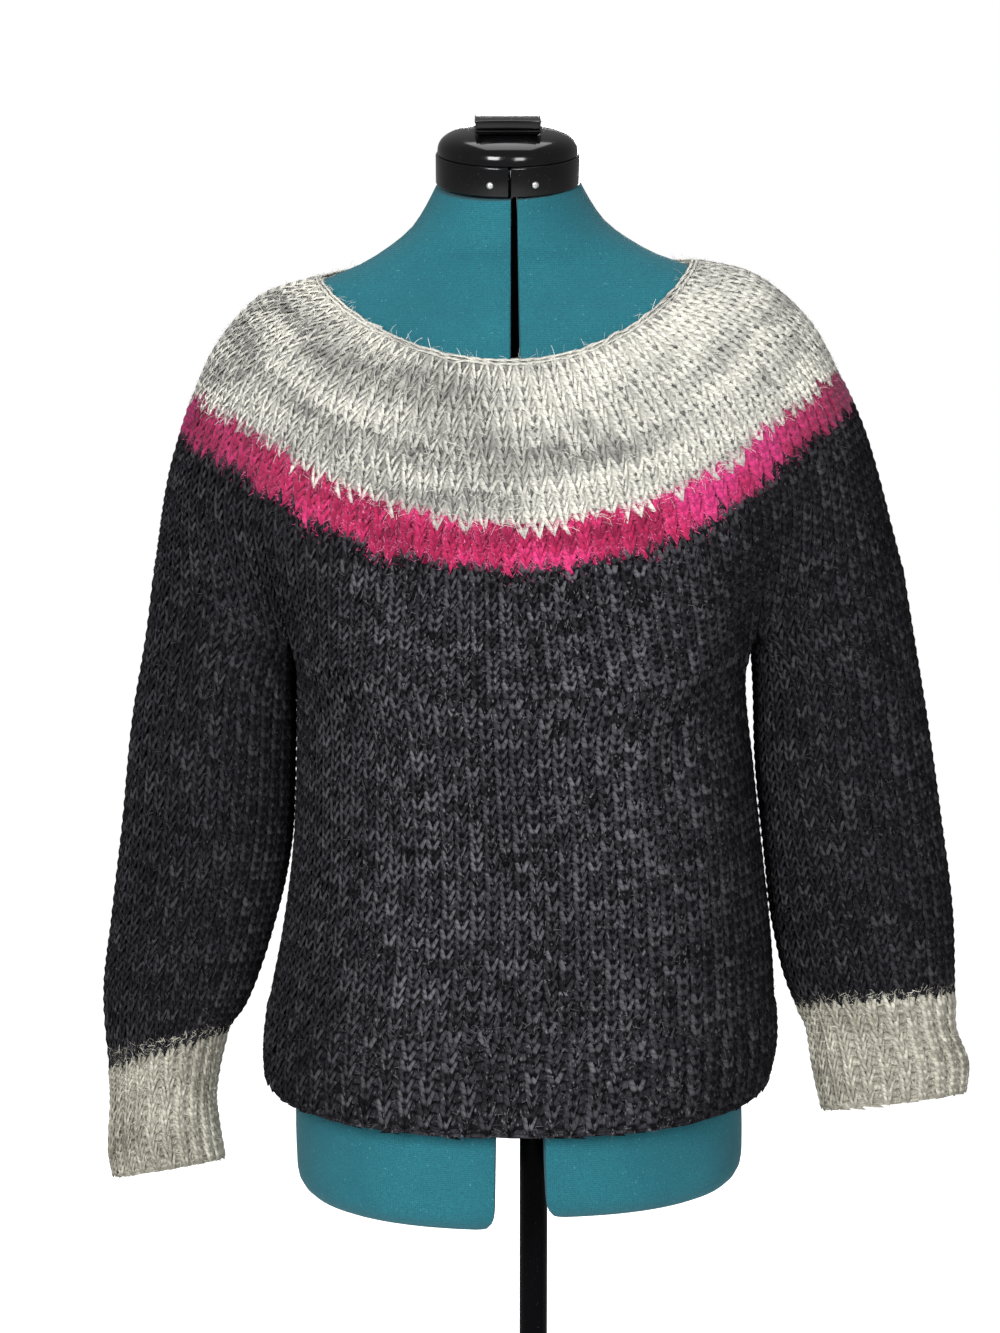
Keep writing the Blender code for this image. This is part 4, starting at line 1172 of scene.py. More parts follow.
# In DYED and CHARCOAL, arms is painted shade: a darker colour towards the sides, where the light
# falls off.
DYED = Wool("stripe", deep=(0.12, 0.004, 0.026), body=(0.4, 0.014, 0.08),
            light=(0.74, 0.045, 0.22), fleck=(0.8, 0.15, 0.35), drift=0.5, contrast=3.4,
            round_scale=20.0, down_scale=60.0, second=(0.56, 0.034, 0.19), dip_shade=0.4,
            arms=(0.085, 0.012, 0.034), side_shade_reach=(0.1, 0.24), sheen=0.08)
CHARCOAL = Wool("charcoal", deep=(0.002, 0.0019, 0.0024), body=(0.029, 0.028, 0.0335),
                light=(0.12, 0.118, 0.132), fleck=(0.12, 0.119, 0.131), drift=0.14,
                contrast=1.6, fleck_level=0.55, dip_shade=0.95, arms=(0.006, 0.0058, 0.0075),
                side_shade_reach=(0.07, 0.16), sheen=0.0, gloss=0.05)
CUFF_MARL = Wool("cuff", deep=(0.14, 0.13, 0.1), body=(0.37, 0.355, 0.295),
                 light=(0.68, 0.66, 0.56), fleck=(0.78, 0.76, 0.67), drift=0.5, contrast=2.8,
                 round_scale=22.0, down_scale=40.0, dip_shade=0.5, sheen=0.06)

MOHAIR_COAT = Coat(density=130000, short=0.003, long=0.009, lean=1.0, width=0.022, bends=1)
STRIPE_COAT = Coat(density=620000, short=0.0015, long=0.0048, lean=0.95, width=0.046, fringe=2.0)
WOOL_COAT = Coat(density=85000, short=0.002, long=0.006, lean=1.0, width=0.045)
CUFF_COAT = Coat(density=330000, short=0.002, long=0.006, lean=1.0, width=0.034)

YOKE_COLUMNS = (48, 30, 48, 30)
BODY_COLUMNS = (48, 10, 48, 10)
HEM_COLUMNS = (120, 24, 120, 24)
SLEEVE_COLUMNS = (36, 10)
CUFF_COLUMNS = (72, 24)
CLOTHS = (
    Cloth("yoke", "yoke", 0, 3, MARL, "marled_mohair", MOHAIR_COAT, YOKE_COLUMNS, open_above=True),
    Cloth("stripe", "yoke", 3, 4, DYED, "stripe_mohair", STRIPE_COAT, YOKE_COLUMNS),
    Cloth("lower_yoke", "yoke", 4, 5, CHARCOAL, "charcoal_knit", WOOL_COAT, YOKE_COLUMNS),
    Cloth("body", "body", 5, 10, CHARCOAL, "charcoal_knit", WOOL_COAT, BODY_COLUMNS),
    Cloth("hem", "body", 10, 12, CHARCOAL, "charcoal_rib", WOOL_COAT, HEM_COLUMNS,
          open_below=True, ribs=72, rib_rise=0.0016),
    *(Cloth("sleeve_" + arm, "sleeve_" + arm, 5, 11, CHARCOAL, "charcoal_knit", WOOL_COAT,
            SLEEVE_COLUMNS) for arm in ARMS),
    *(Cloth("cuff_" + arm, "sleeve_" + arm, 11, 14, CUFF_MARL, "marled_rib", CUFF_COAT,
            CUFF_COLUMNS, open_below=True, ribs=24, rib_rise=0.0012) for arm in ARMS),
)

LACY = dict(girth=0.002, leg=0.32, reach=1.18, foot=0.12, head=0.33, sink=0.0014, tilt=0.0012,
            uneven=0.12)
HEM_RIB = dict(course=0.007, leg=0.35, reach=1.36, foot=0.05, head=0.3)
CUFF_RIB = dict(course=0.006, leg=0.31, reach=1.4, foot=0.07, head=0.27, girth=0.003)
KNITS = {
    "yoke": (
        Knit(0.14, 0.8, (23, 15, 23, 15), 0.0068, **LACY),
        Knit(0.8, 1.7, (26, 18, 26, 18), 0.007, **LACY),
        Knit(1.7, 2.4, (30, 20, 30, 20), 0.007, **LACY),
        Knit(2.4, 3, (33, 23, 33, 23), 0.007, **LACY),
        Knit(3, 4, (36, 25, 36, 25), 0.0068),
        Knit(4, 5, (41, 28, 41, 28)),
    ),
    "body": (Knit(5, 10, (40, 8, 40, 8)),),
    "hem": (Knit(10, 11.8, (30, 6, 30, 6), **HEM_RIB),),
    **{"sleeve_" + arm: (Knit(5, 11, (28, 8)),) for arm in ARMS},
    **{"cuff_" + arm: (Knit(11, 13.86, (18, 6), **CUFF_RIB),) for arm in ARMS},
}


class Pullover:
    """The knitted pullover: a shell, its stitches and its loose fibres for every piece of it."""

    shell_out = 0.0026  # depth of the shell's outer face under the net
    shell_thick = 0.0010
    shell_step = 0.008  # height of the shell's rows
    blur = 0.0022  # how unevenly one yarn gives way to the next
    mingle = 0.0016  # how far single stitches stray over that line
    overlap = 0.0046  # how far fibres grow past their own yarn
    fade = 0.004  # and how soon they thin out
    inset = {3: 0.0028, 4: -0.0056}  # how much narrower the stripe looks than its cloth
    coat_rows = {"yoke": 0.002}  # row height of a coat's guide, where not as below
    coat_row = 0.008
    arm_step = 0.005  # how much higher the yarns change on the arms
    step_width = 0.008  # how soon they do, as a share of the way round
    sides = 3  # of a strand
    strand_rings = 4  # along it
    tip = 0.34  # its least width, as a share of its own
    leg_tone = 0.17  # how much the tone differs from stitch to stitch
    own_tone = 0.1  # and between a stitch's two legs
    sideways = 0.04  # how far a stitch strays from its wale, in wales
    coat_sink = 0.0004  # depth of the fibres' roots under the net

    def __init__(self, groups: ShaderGroups) -> None:
        """Set up the net's tubes, the trees and the finishes."""
        net = PulloverNet()
        front = Strip(partial(net.panel, Face.FRONT), net.front_folds)
        back = Strip(partial(net.panel, Face.BACK), net.back_folds)
        arms = {side: Strip(partial(net.arm, side), net.arm_folds[side]) for side in Side}
        flanks = {side: Strip(partial(net.body_side, side), first=5) for side in Side}
        self.tubes = {
            "yoke": Tube((front, arms[Side.RIGHT], back, arms[Side.LEFT]), 0, 6),
            "body": Tube((front, flanks[Side.RIGHT], back, flanks[Side.LEFT]), 5, 8),
        }
        for side in Side:
            under = Strip(partial(net.sleeve_under, side), first=5)
            self.tubes["sleeve_" + side.name.lower()] = Tube((arms[side], under), 5, 10)
        self.legs = build_leg_tree()
        self.fibres = build_fibre_tree()
        wools = (MARL, DYED, CHARCOAL, CUFF_MARL)
        self.yarn = {wool.name: wool.stitch_material(groups) for wool in wools}
        self.shaded_ground = {wool.name: wool.ground_material(groups) for wool in wools}
        self.loose = {wool.name: wool.fibre_material(groups) for wool in wools}

    def rib(self, cloth: Cloth, patch: Patch) -> Array:
        """How far ribs, each as wide as the next, stand out of the net at a band's points."""
        columns = patch.width.shape[1]
        wave = 0.5 - 0.5 * np.cos(2 * math.pi * cloth.ribs * (np.arange(columns) / columns))
        return np.broadcast_to(cloth.rib_rise * wave[None, :], patch.width.shape)

    def shell(self, cloth: Cloth) -> Piece:
        """The thin closed wall of one piece of cloth, under its stitches."""
        tube = self.tubes[cloth.tube]
        _, length = tube.size(cloth.top, cloth.low)
        rows = max(3, round(length / self.shell_step) + 1)
        patch = tube.band(cloth.shell, np.linspace(cloth.top, cloth.low, rows))
        rise = self.rib(cloth, patch)
        outer = patch.lifted(rise - self.shell_out)
        inner = patch.lifted(0.5 * rise - self.shell_out - self.shell_thick)
        columns = outer.shape[1]
        count = rows * columns
        j = np.arange(columns)
        k = (j + 1) % columns
        top = np.stack([j, k, k + count, j + count], -1)
        low = np.stack([j, j + count, k + count, k], -1) + (rows - 1) * columns
        faces = np.concatenate([grid_faces(rows, columns),
                                grid_faces(rows, columns, count, flip=True), top, low])
        made = new_piece(cloth.name + "_cloth", np.concatenate([outer, inner]), faces)
        give(made.data, "net", np.concatenate([patch.pattern(), patch.pattern()]))
        self.map_shell(made.data, rows, columns)
        made.data.materials.append(self.shaded_ground[cloth.wool.name])
        return made

    def map_shell(self, mesh: Mesh, rows: int, columns: int) -> None:
        """Lay a shell's two faces and its two edges flat in its bake map."""
        quads = whole_numbers(mesh.loops, "vertex_index").reshape(-1, 4)
        inner, local = quads // (rows * columns), quads % (rows * columns)
        row, column = local // columns, (local % columns).astype(float)
        wraps = (column.max(axis=1) == columns - 1) & (column.min(axis=1) == 0)
        column = np.where(wraps[:, None] & (column == 0), columns, column)
        u = 0.01 + 0.98 * column / columns
        v = 0.99 - 0.42 * row / (rows - 1) - 0.46 * inner
        edge = inner.max(axis=1) != inner.min(axis=1)
        level = np.where(row.max(axis=1) > 0, 0.02, 0.05)
        v = np.where(edge[:, None], level[:, None] + 0.02 * inner, v)
        lay_map(mesh, np.stack([u, v], -1))

    def boundary(self, level: int, turn: Array) -> Array:
        """How far down the yoke one yarn ends and the next begins, round the body."""
        way = self.tubes["yoke"].down_to(np.array([level]))[0]
        aside = np.abs(np.abs((turn - 0.125) % 0.5 - 0.25) - 0.125)
        inside = ((turn % 0.5) > 0.25) * 2 - 1
        arm = 0.5 + 0.5 * np.tanh(inside * aside / self.step_width)
        blur = self.blur * drift(turn, EDGE_SEEDS[level])
        return way + self.inset[level] + blur - self.arm_step * arm

    def lay_stitches(self, guides: Guides, patch: Patch, knit: Knit, rise: Array,
                     rng: np.random.Generator) -> None:
        """Add the two legs of every stitch of a band."""
        shape = patch.width.shape
        tone = rng.normal(0.5, self.leg_tone, shape)
        wide = patch.width * (1 + knit.uneven * rng.normal(size=shape))
        tall = patch.height * knit.reach * (1 + knit.uneven * rng.normal(size=shape)) / 2
        stray = self.sideways * patch.width * rng.normal(size=shape)
        base = patch.lifted(rise - knit.sink) + patch.across * stray[:, :, None]
        down, out = patch.downs * tall[:, :, None], patch.normals * knit.tilt / 2
        for sign in (-1, 1):
            aside = patch.across * (sign * wide)[:, :, None]
            foot = base + down + out + aside * knit.foot
            head = base - down - out + aside * knit.head
            own = np.clip(tone + rng.normal(0, self.own_tone, shape), 0, 1)
            width = wide * knit.leg * (1 + 0.5 * knit.uneven * rng.normal(size=shape))
            guides.add(foot, head, patch.normals, width, knit.girth, own, patch.pattern())

    def lay_bars(self, guides: Guides, patch: Patch, knit: Knit, bar: Bar,
                 rng: np.random.Generator) -> None:
        """Add a strand a stitch: purl bumps, dark strands as painted shade in the slits of open
        knitting, or an edge's chain.
        """
        shape = patch.width.shape
        along, aside, long, wide = patch.across, patch.downs, patch.width, patch.height
        base = patch.lifted(-knit.sink)
        if bar.upright:
            along, aside, long, wide = aside, along, wide, long
            long = long * rng.uniform(0.35, 1.25, shape)
            wide = wide * rng.uniform(0.5, 1.3, shape)
            base = base - patch.downs * (0.2 * patch.height)[:, :, None]
        half = along * (bar.span * long)[:, :, None]
        skew = aside * (bar.skew * bar.span * long * rng.normal(size=shape))[:, :, None]
        tone = np.clip(rng.normal(bar.tone, 0.15, shape), -1, 1)
        thick = wide * bar.thick if bar.thick < 1 else np.full(shape, knit.girth * 1.05)
        guides.add(base - half + skew, base + half - skew, patch.normals, thick,
                   knit.girth * bar.girth, tone, patch.pattern())

    def stitches(self, name: str, wool: Wool, points: dict[str, Array], keep: Array) -> Piece:
        """Grow the strands of one piece of cloth on the guide points kept for it."""
        guide = new_piece(name + "_guide", points["place"][keep], [])
        for key in ("aim", "out", "size", "net", "tone"):
            give(guide.data, key, points[key][keep])
        made = grown(guide, self.legs, name, Sides=self.sides, Tip=self.tip,
                     Finish=self.yarn[wool.name])
        map_copies(made.data, self.sides, self.strand_rings, True)
        for key in ("aim", "out", "size"):
            made.data.attributes.remove(made.data.attributes[key])
        return made

    def guide_points(self, cloth: Cloth, knits: Sequence[Knit],
                     rng: np.random.Generator) -> dict[str, Array]:
        """The guide points of every strand that is knitted in one go.

        Args:
            cloth: the first piece of cloth of that stretch.
            knits: how it is knitted, from its top.
            rng: where its unevenness is drawn from.

        Returns:
            Each kind of value for all the points, by name.
        """
        tube = self.tubes[cloth.tube]
        guides = Guides()
        for knit in knits:
            levels = tube.courses(knit.top, knit.low, knit.course)
            patch = tube.band(knit.counts, levels, 0.5)
            self.lay_stitches(guides, patch, knit, np.full(patch.width.shape, cloth.rib_rise), rng)
            if cloth.ribs:
                self.lay_bars(guides, tube.band(knit.counts, levels), knit, PURL, rng)
            elif knit.girth < LACY_BELOW:
                self.lay_bars(guides, patch, knit, SLIT_SHADE, rng)
        first = knits[0]
        if cloth.open_above:
            self.lay_bars(guides, tube.band(first.counts, UPPER_CHAIN, 0.5), first, CHAIN, rng)
        if cloth.open_below:
            edge = tube.band(first.counts, cloth.low - LOWER_CHAIN, 0.25)
            self.lay_bars(guides, edge, first, CHAIN, rng)
        return guides.joined()

    def divided(self, key: str, points: dict[str, Array],
                rng: np.random.Generator) -> dict[str, Array]:
        """Which of the points knitted under a key belong to each CAD node."""
        if key == "body":
            ahead = points["place"][:, 1] < 0
            return {"front": ahead, "back": ~ahead}
        if key != "yoke":
            return {key: np.ones(len(points["tone"]), dtype=bool)}
        x, y, way = points["net"].T
        turn = np.arctan2(y, x) / (2 * math.pi)
        stray = self.mingle * rng.normal(size=way.shape)
        upper, lower = [self.boundary(level, turn) + stray for level in EDGE_SEEDS]
        return {"yoke": way < upper, "stripe": (way >= upper) & (way < lower),
                "lower_yoke": way >= lower}

    def build_tube_stitches(self) -> dict[str, Piece]:
        """Every stitch of the pullover, as one piece for each of its CAD nodes."""
        made = {}
        cloths = {cloth.name: cloth for cloth in CLOTHS}
        wools = {node: cloth.wool for cloth in CLOTHS for node in cloth.nodes}
        rng = np.random.default_rng(20)
        for key, knits in KNITS.items():
            points = self.guide_points(cloths[key], knits, rng)
            for node, keep in self.divided(key, points, rng).items():
                made[node] = self.stitches(node + "_stitches", wools[node], points, keep)
        return made

    def fringed(self, cloth: Cloth, coat: Array, inside: Array) -> Array:
        """The share of fibres, by how far inside the yarn's own edge they grow."""
        fade = np.clip((inside + self.overlap) / self.fade, 0, 1)
        return coat * fade * (1 + cloth.coat.fringe * np.exp(-(inside / self.overlap) ** 2))

    def halo(self, cloth: Cloth, seed: int) -> Piece:
        """The loose fibres of one piece of cloth."""
        tube = self.tubes[cloth.tube]
        _, length = tube.size(cloth.top, cloth.low)
        reach = (cloth.low - cloth.top) * self.overlap * 2 / length
        top = max(cloth.top - reach, tube.first)
        low = min(cloth.low + reach, tube.first + tube.rings - 1)
        rows = max(4, round(length / self.coat_rows.get(cloth.tube, self.coat_row)))
        patch = tube.band(cloth.shell, np.linspace(top, low, rows))
        columns = patch.width.shape[1]
        lift = self.rib(cloth, patch) - self.coat_sink
        guide = new_piece(cloth.name + "_coat", patch.lifted(lift), grid_faces(rows, columns))
        coat = np.ones((rows, columns))
        turn = np.broadcast_to(patch.turn[None, :], coat.shape)
        for level, sign in ((cloth.top, 1), (cloth.low, -1)):
            if level in EDGE_SEEDS:
                inside = sign * (patch.along[:, None] - self.boundary(level, turn))
                coat = self.fringed(cloth, coat, inside)
        give(guide.data, "net", patch.pattern())
        give(guide.data, "coat", coat)
        own = cloth.coat
        made = grown(guide, self.fibres, cloth.name + "_fibres", Density=float(own.density),
                     Short=own.short, Long=own.long, Lean=own.lean, Width=own.width,
                     Bends=own.bends, Seed=seed, Finish=self.loose[cloth.wool.name])
        map_copies(made.data, 2, 2 + own.bends, False)
        return made

    def build(self) -> None:
        """Build every piece, hide the CAD nodes it stands for and attach it to the root."""
        stitches = self.build_tube_stitches()
        for seed, cloth in enumerate(CLOTHS):
            shell = self.shell(cloth)
            own = [*[stitches[node] for node in cloth.nodes], self.halo(cloth, seed)]
            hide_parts(*cloth.nodes)
            for piece in (shell, *own):
                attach(piece, "root")
            size = self.tubes[cloth.tube].size(cloth.top, cloth.low)
            area = min(self.flat_area(cloth), size[0] * size[1])
            LOG.info("%s: %.3f x %.3f m, %.4f m2, %d + %s faces", cloth.name, *size, area,
                     len(shell.data.polygons), [len(p.data.polygons) for p in own])

    def flat_area(self, cloth: Cloth) -> float:
        """The area of a piece of cloth, laid flat."""
        band = self.tubes[cloth.tube].band(cloth.shell, np.linspace(cloth.top, cloth.low, 15))
        cells = (band.width[1:] + band.width[:-1]) / 2
        steps = np.linalg.norm(np.diff(band.points, axis=0), axis=2)
        return float((cells * steps).sum())


# The dress form


@dataclass(frozen=True)
class FormRing:
    """A ring of the upright dress form at a height."""

    z: float
    half_width: float
    front_y: float
    back_y: float
    square: float = 2.0


@dataclass
class DressForm:
    """The limbless dress form: two covered halves, the neck's fittings and the stand."""

    rings: tuple[FormRing, ...] = table(
        FormRing,
        (0.6930, 0.1580, -0.1170, 0.1140, 2.3),
        (0.7060, 0.1584, -0.1174, 0.1144, 2.3),
        (0.7400, 0.1590, -0.1180, 0.1150, 2.3),
        (0.8000, 0.1560, -0.1160, 0.1140, 2.3),
        (0.8700, 0.1440, -0.1060, 0.1060, 2.2),
        (0.9400, 0.1280, -0.0940, 0.0950, 2.1),
        (1.0000, 0.1260, -0.0950, 0.0890, 2.1),
        (1.0600, 0.1330, -0.1050, 0.0900, 2.2),
        (1.1200, 0.1390, -0.1130, 0.0940, 2.3),
        (1.1800, 0.1450, -0.1090, 0.0980, 2.3),
        (1.2300, 0.1540, -0.0970, 0.0960, 2.2),
        (1.2650, 0.1620, -0.0840, 0.0900, 2.1),
        (1.2900, 0.1670, -0.0720, 0.0820),
        (1.3080, 0.1680, -0.0630, 0.0740),
        (1.3200, 0.1590, -0.0540, 0.0670),
        (1.3305, 0.1440, -0.0490, 0.0600),
        (1.3392, 0.1250, -0.0460, 0.0540),
        (1.3480, 0.1020, -0.0450, 0.0500),
        (1.3600, 0.0810, -0.0490, 0.0490),
        (1.3720, 0.0660, -0.0490, 0.0475),
        (1.3860, 0.0562, -0.0490, 0.0465),
        (1.3985, 0.0494, -0.0508, 0.0452),
    )
    lean: float = 0.0123  # sideways shift to the left, for each metre of height
    shoulder_rise: float = 0.037  # rise of the shoulders from left to right
    neck_tilt: float = math.radians(15.0)
    neck_tilt_from: float = 1.325
    slot_top: float = 0.004
    slot_bottom: float = 0.035
    slot_shift: float = 0.004
    right_hem_rise: float = 0.009
    well_half: tuple[float, float] = (0.013, 0.018)
    well_top: float = 0.8800
    pole_x: float = -0.0020
    inner_share: float = 0.6  # how much less the lower edge rounds off at the slot
    hem_radius: float = 0.018  # rounding of the lower edge
    slot_pinch: float = 0.004  # how much narrower the cover draws the slot at the neck
    row_step: float = 0.0100
    neck_centre: Vec3 = (-0.0086, -0.003, 1.3995)
    ring_radius: float = 0.0492
    ring_height: float = 0.0200
    ring_bore: float = 0.0400
    ring_edge: float = 0.0012  # rounding of its edges
    ring_slit: float = 0.0011  # half its split
    split_turn: float = 0.02  # angle from the middle of the front to it
    cap_height: float = 0.0170
    cap_inset: float = 0.0012  # how much narrower than the ring it is
    cap_foot: float = 0.0004  # its lower edge's bevel
    cap_square: float = 2.9
    plate: Vec3 = (0.047, 0.028, 0.0028)
    knob: Vec3 = (0.045, 0.023, 0.0062)
    knob_y: float = -0.014
    screw_radius: float = 0.0023
    screw_spread: float = 0.0150
    screw_middle: float = 0.0030
    screw_height: float = 0.0080
    fit: float = 0.0003
    slot_box_heights: tuple[float, float] = (1.3724, 1.394)  # heights of the near-black box in the slot, which paints the shade deep in it
    slot_box_depth: float = 0.026

    def __post_init__(self) -> None:
        """Note the form's lowest and highest rings."""
        self.hip = self.rings[0].z
        self.tall = self.rings[-1].z - self.hip

    def placed(self, points: Array) -> Array:
        """Lean points of the upright form to the left and raise its right shoulder."""
        x, y, z = points[..., 0], points[..., 1], points[..., 2]
        share = (z - self.hip) / self.tall
        top = self.rings[-1].z
        tilt = np.clip((z - self.neck_tilt_from) / (top - self.neck_tilt_from), 0, 1)
        lifted = z + x * self.shoulder_rise * share + y * math.tan(self.neck_tilt) * tilt
        return np.stack([x - self.lean * (z - self.hip) + FORM_X, y, lifted], -1)

    def slot_side(self, z: float, sign: int) -> float:
        """Distance from the form's middle to one side of its slot."""
        share = (z - self.hip) / self.tall
        pinch = self.slot_pinch * min(1.0, (1 - share) / 0.2) * min(1.0, max(0.0, share - 0.5) / 0.2)
        return (self.slot_bottom + (self.slot_top - self.slot_bottom) * share - pinch) / 2 \
            + sign * self.slot_shift * share

    def outline(self, ring: Array, sign: int, inward: float = 0.0) -> Array:
        """One half's outline at a height, with its corners softened.

        Args:
            ring: the torso's table row at that height.
            sign: which half it is.
            inward: how far it is drawn in, on the way round the lower edge.

        Returns:
            The outline's points, as if for the right half.
        """
        z, half_width, front_y, back_y, square = ring
        half_width, front_y, back_y = half_width - inward, front_y + inward, back_y - inward
        gap = self.slot_side(z, sign) + self.inner_share * inward
        angles = np.linspace(0, math.pi, 181)
        depth = np.where(np.cos(angles) > 0, -front_y, back_y)
        x = half_width * power(np.sin(angles), 2 / square)
        y = -depth * power(np.cos(angles), 2 / square)
        curve = np.stack([x, y, np.full(181, z)], -1)[x >= gap]
        curve[0, 0] = curve[-1, 0] = gap
        deep = gap
        if sign > 0 and z < self.well_top:
            deep = self.pole_x + self.well_half[0] - FORM_X + self.lean * (z - self.hip)
            deep = max(deep, gap)
        well = self.well_half[1]
        stops = [(gap, curve[-1, 1]), (gap, well), (deep, well), (deep, -well), (gap, -well),
                 (gap, curve[0, 1])]
        sections = [spaced(curve, np.arange(300) / 300)]
        for (x0, y0), (x1, y1), count in zip(stops, stops[1:], (60, 9, 24, 9, 60)):
            share = np.arange(count) / count
            sections.append(np.stack([x0 + (x1 - x0) * share, y0 + (y1 - y0) * share,
                                      np.full(count, z)], -1))
        loop = np.concatenate(sections)
        for _ in range(6):
            loop = (np.roll(loop, 1, axis=0) + 2 * loop + np.roll(loop, -1, axis=0)) / 4
        return loop[::4]

    def half(self, name: str, side: Side, cover: Material) -> Piece:
        """One covered half of the torso, with its lower edge rounded."""
        sign = side.value
        torso = np.array([astuple(ring) for ring in self.rings])
        levels = []
        for k, (low, high) in enumerate(zip(torso, torso[1:])):
            count = max(1, math.ceil((high[0] - low[0]) / self.row_step))
            levels += [k + n / count for n in range(count)]
        levels.append(len(torso) - 1)
        start = self.hip + (self.right_hem_rise if side is Side.RIGHT else 0.0)
        turn = np.linspace(0, math.pi / 2, 6)
        low_z = start + self.hem_radius * (1 - np.sin(turn[::-1]))
        inset = self.hem_radius * (1 - np.cos(turn[::-1]))
        rows = []
        rings = smooth_wales(torso[:, None, :], np.array(levels))[0][:, 0]
        for z, inward in zip(low_z, inset):
            ring = np.array([np.interp(z, torso[:, 0], column) for column in torso.T])
            ring[0] = z
            rows.append(self.outline(ring, sign, inward))
        rows += [self.outline(ring, sign) for ring in rings if ring[0] > low_z.max() + 0.002]
        grid = np.array(rows)
        grid[..., 0] *= sign
        grid = self.placed(grid)
        count, columns = grid.shape[:2]
        flip = side is Side.RIGHT
        faces = grid_faces(count, columns, flip=flip).tolist()
        bottom, top = list(range(columns)), list(range((count - 1) * columns, count * columns))
        faces += [bottom if flip else bottom[::-1], top[::-1] if flip else top]
        made = new_piece(name + "_cover", grid, faces)
        fix_normals(made)
        made.data.materials.append(cover)
        return self.dressed(made, name, "form_cover")

    def dressed(self, piece: Piece, node: str, slot: str) -> Piece:
        """Let a piece stand for its CAD node."""
        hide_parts(node)
        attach(piece, "root")
        return piece

    def neck_frame(self) -> Matrix:
        """The tilted frame of the neck ring, with its origin under the ring."""
        x, y, z = self.neck_centre
        turn = Matrix.Rotation(self.neck_tilt, 4, "X")
        return Matrix.Translation((x + FORM_X, y, z)) @ turn

    def build_neck(self, black: Material, steel: Material) -> None:
        """The split ring, the domed cap, the pincushion knob and the two screws."""
        place = self.neck_frame()
        radius, height = self.ring_radius, self.ring_height
        edge = self.ring_edge
        corner = [(radius - edge + edge * math.sin(a), edge - edge * math.cos(a))
                  for a in np.linspace(0, math.pi / 2, 5)]
        rim = [(r, height - z) for r, z in corner[::-1]]
        profile = [(self.ring_bore, 0.0), *corner, *rim, (self.ring_bore, height)]
        slit = self.ring_slit / radius
        ring = swept("neck_ring_split", profile, 97, -math.pi / 2 + self.split_turn + slit,
                     1.5 * math.pi + self.split_turn - slit)
        base = height + self.fit
        wide, bend = radius - self.cap_inset, 2 / self.cap_square
        dome = [(wide - self.cap_foot, base), (wide, base + self.cap_foot)]
        for a in np.linspace(0.06, math.pi / 2 - 0.03, 22):
            dome.append((wide * math.cos(a) ** bend, base + self.cap_height * math.sin(a) ** bend))
        cap = swept("neck_cap_dome", [(0, base), *dome, (0, base + self.cap_height)], 96)
        low = base + self.cap_height + self.fit
        plate = tapered_block("knob_plate_flared", self.plate, taper=0.86, bevel=0.0006)
        plate.data.transform(Matrix.Translation((0, self.knob_y, low + self.plate[2] / 2)))
        low += self.plate[2] + self.fit
        knob = tapered_block("knob_block", self.knob, taper=0.95, bevel=0.0011)
        knob.data.transform(Matrix.Translation((0, self.knob_y, low + self.knob[2] / 2)))
        for piece, node in ((ring, "neck_ring"), (cap, "neck_cap"), (plate, "knob_plate"),
                            (knob, "knob")):
            piece.data.transform(place)
            piece.data.materials.append(black)
            self.dressed(piece, node, "neck_black")
        for number, side in enumerate((-1, 1), 1):
            angle = math.asin((self.screw_middle + side * self.screw_spread) / radius)
            face = radius + self.fit
            spot = Matrix.Translation((face * math.sin(angle), -face * math.cos(angle),
                                       self.screw_height))
            turn = Matrix.Rotation(angle, 4, "Z") @ Matrix.Rotation(math.pi / 2, 4, "X")
            screw = cross_head("neck_screw_%d_head" % number, self.screw_radius)
            spin = Matrix.Rotation(0.5 * side, 4, "Z")
            screw.data.transform(place @ spot @ turn @ spin)
            screw.data.materials.append(steel)
            self.dressed(screw, "neck_screw_%d" % number, "screw_steel")

    def shade_slot(self, paint: Material) -> None:
        """A near-black box in the slot between the two halves at the neck: the form's inner parts,
        painted near black as the shade deep in the slot.
        """
        rows = []
        for z in np.linspace(self.slot_box_heights[0], self.slot_box_heights[1], 12):
            left, right = self.fit - self.slot_side(z, -1), self.slot_side(z, 1) - self.fit
            front, back = -self.slot_box_depth, self.slot_box_depth
            rows.append([(left, front, z), (right, front, z), (right, back, z), (left, back, z)])
        grid = self.placed(np.array(rows))
        count = len(rows)
        faces = grid_faces(count, 4, flip=True).tolist()
        faces += [[3, 2, 1, 0], [4 * count - 4 + k for k in range(4)]]
        made = new_piece("slot_shade_box", grid, faces, False)
        fix_normals(made)
        made.data.materials.append(paint)
        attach(made, "root")

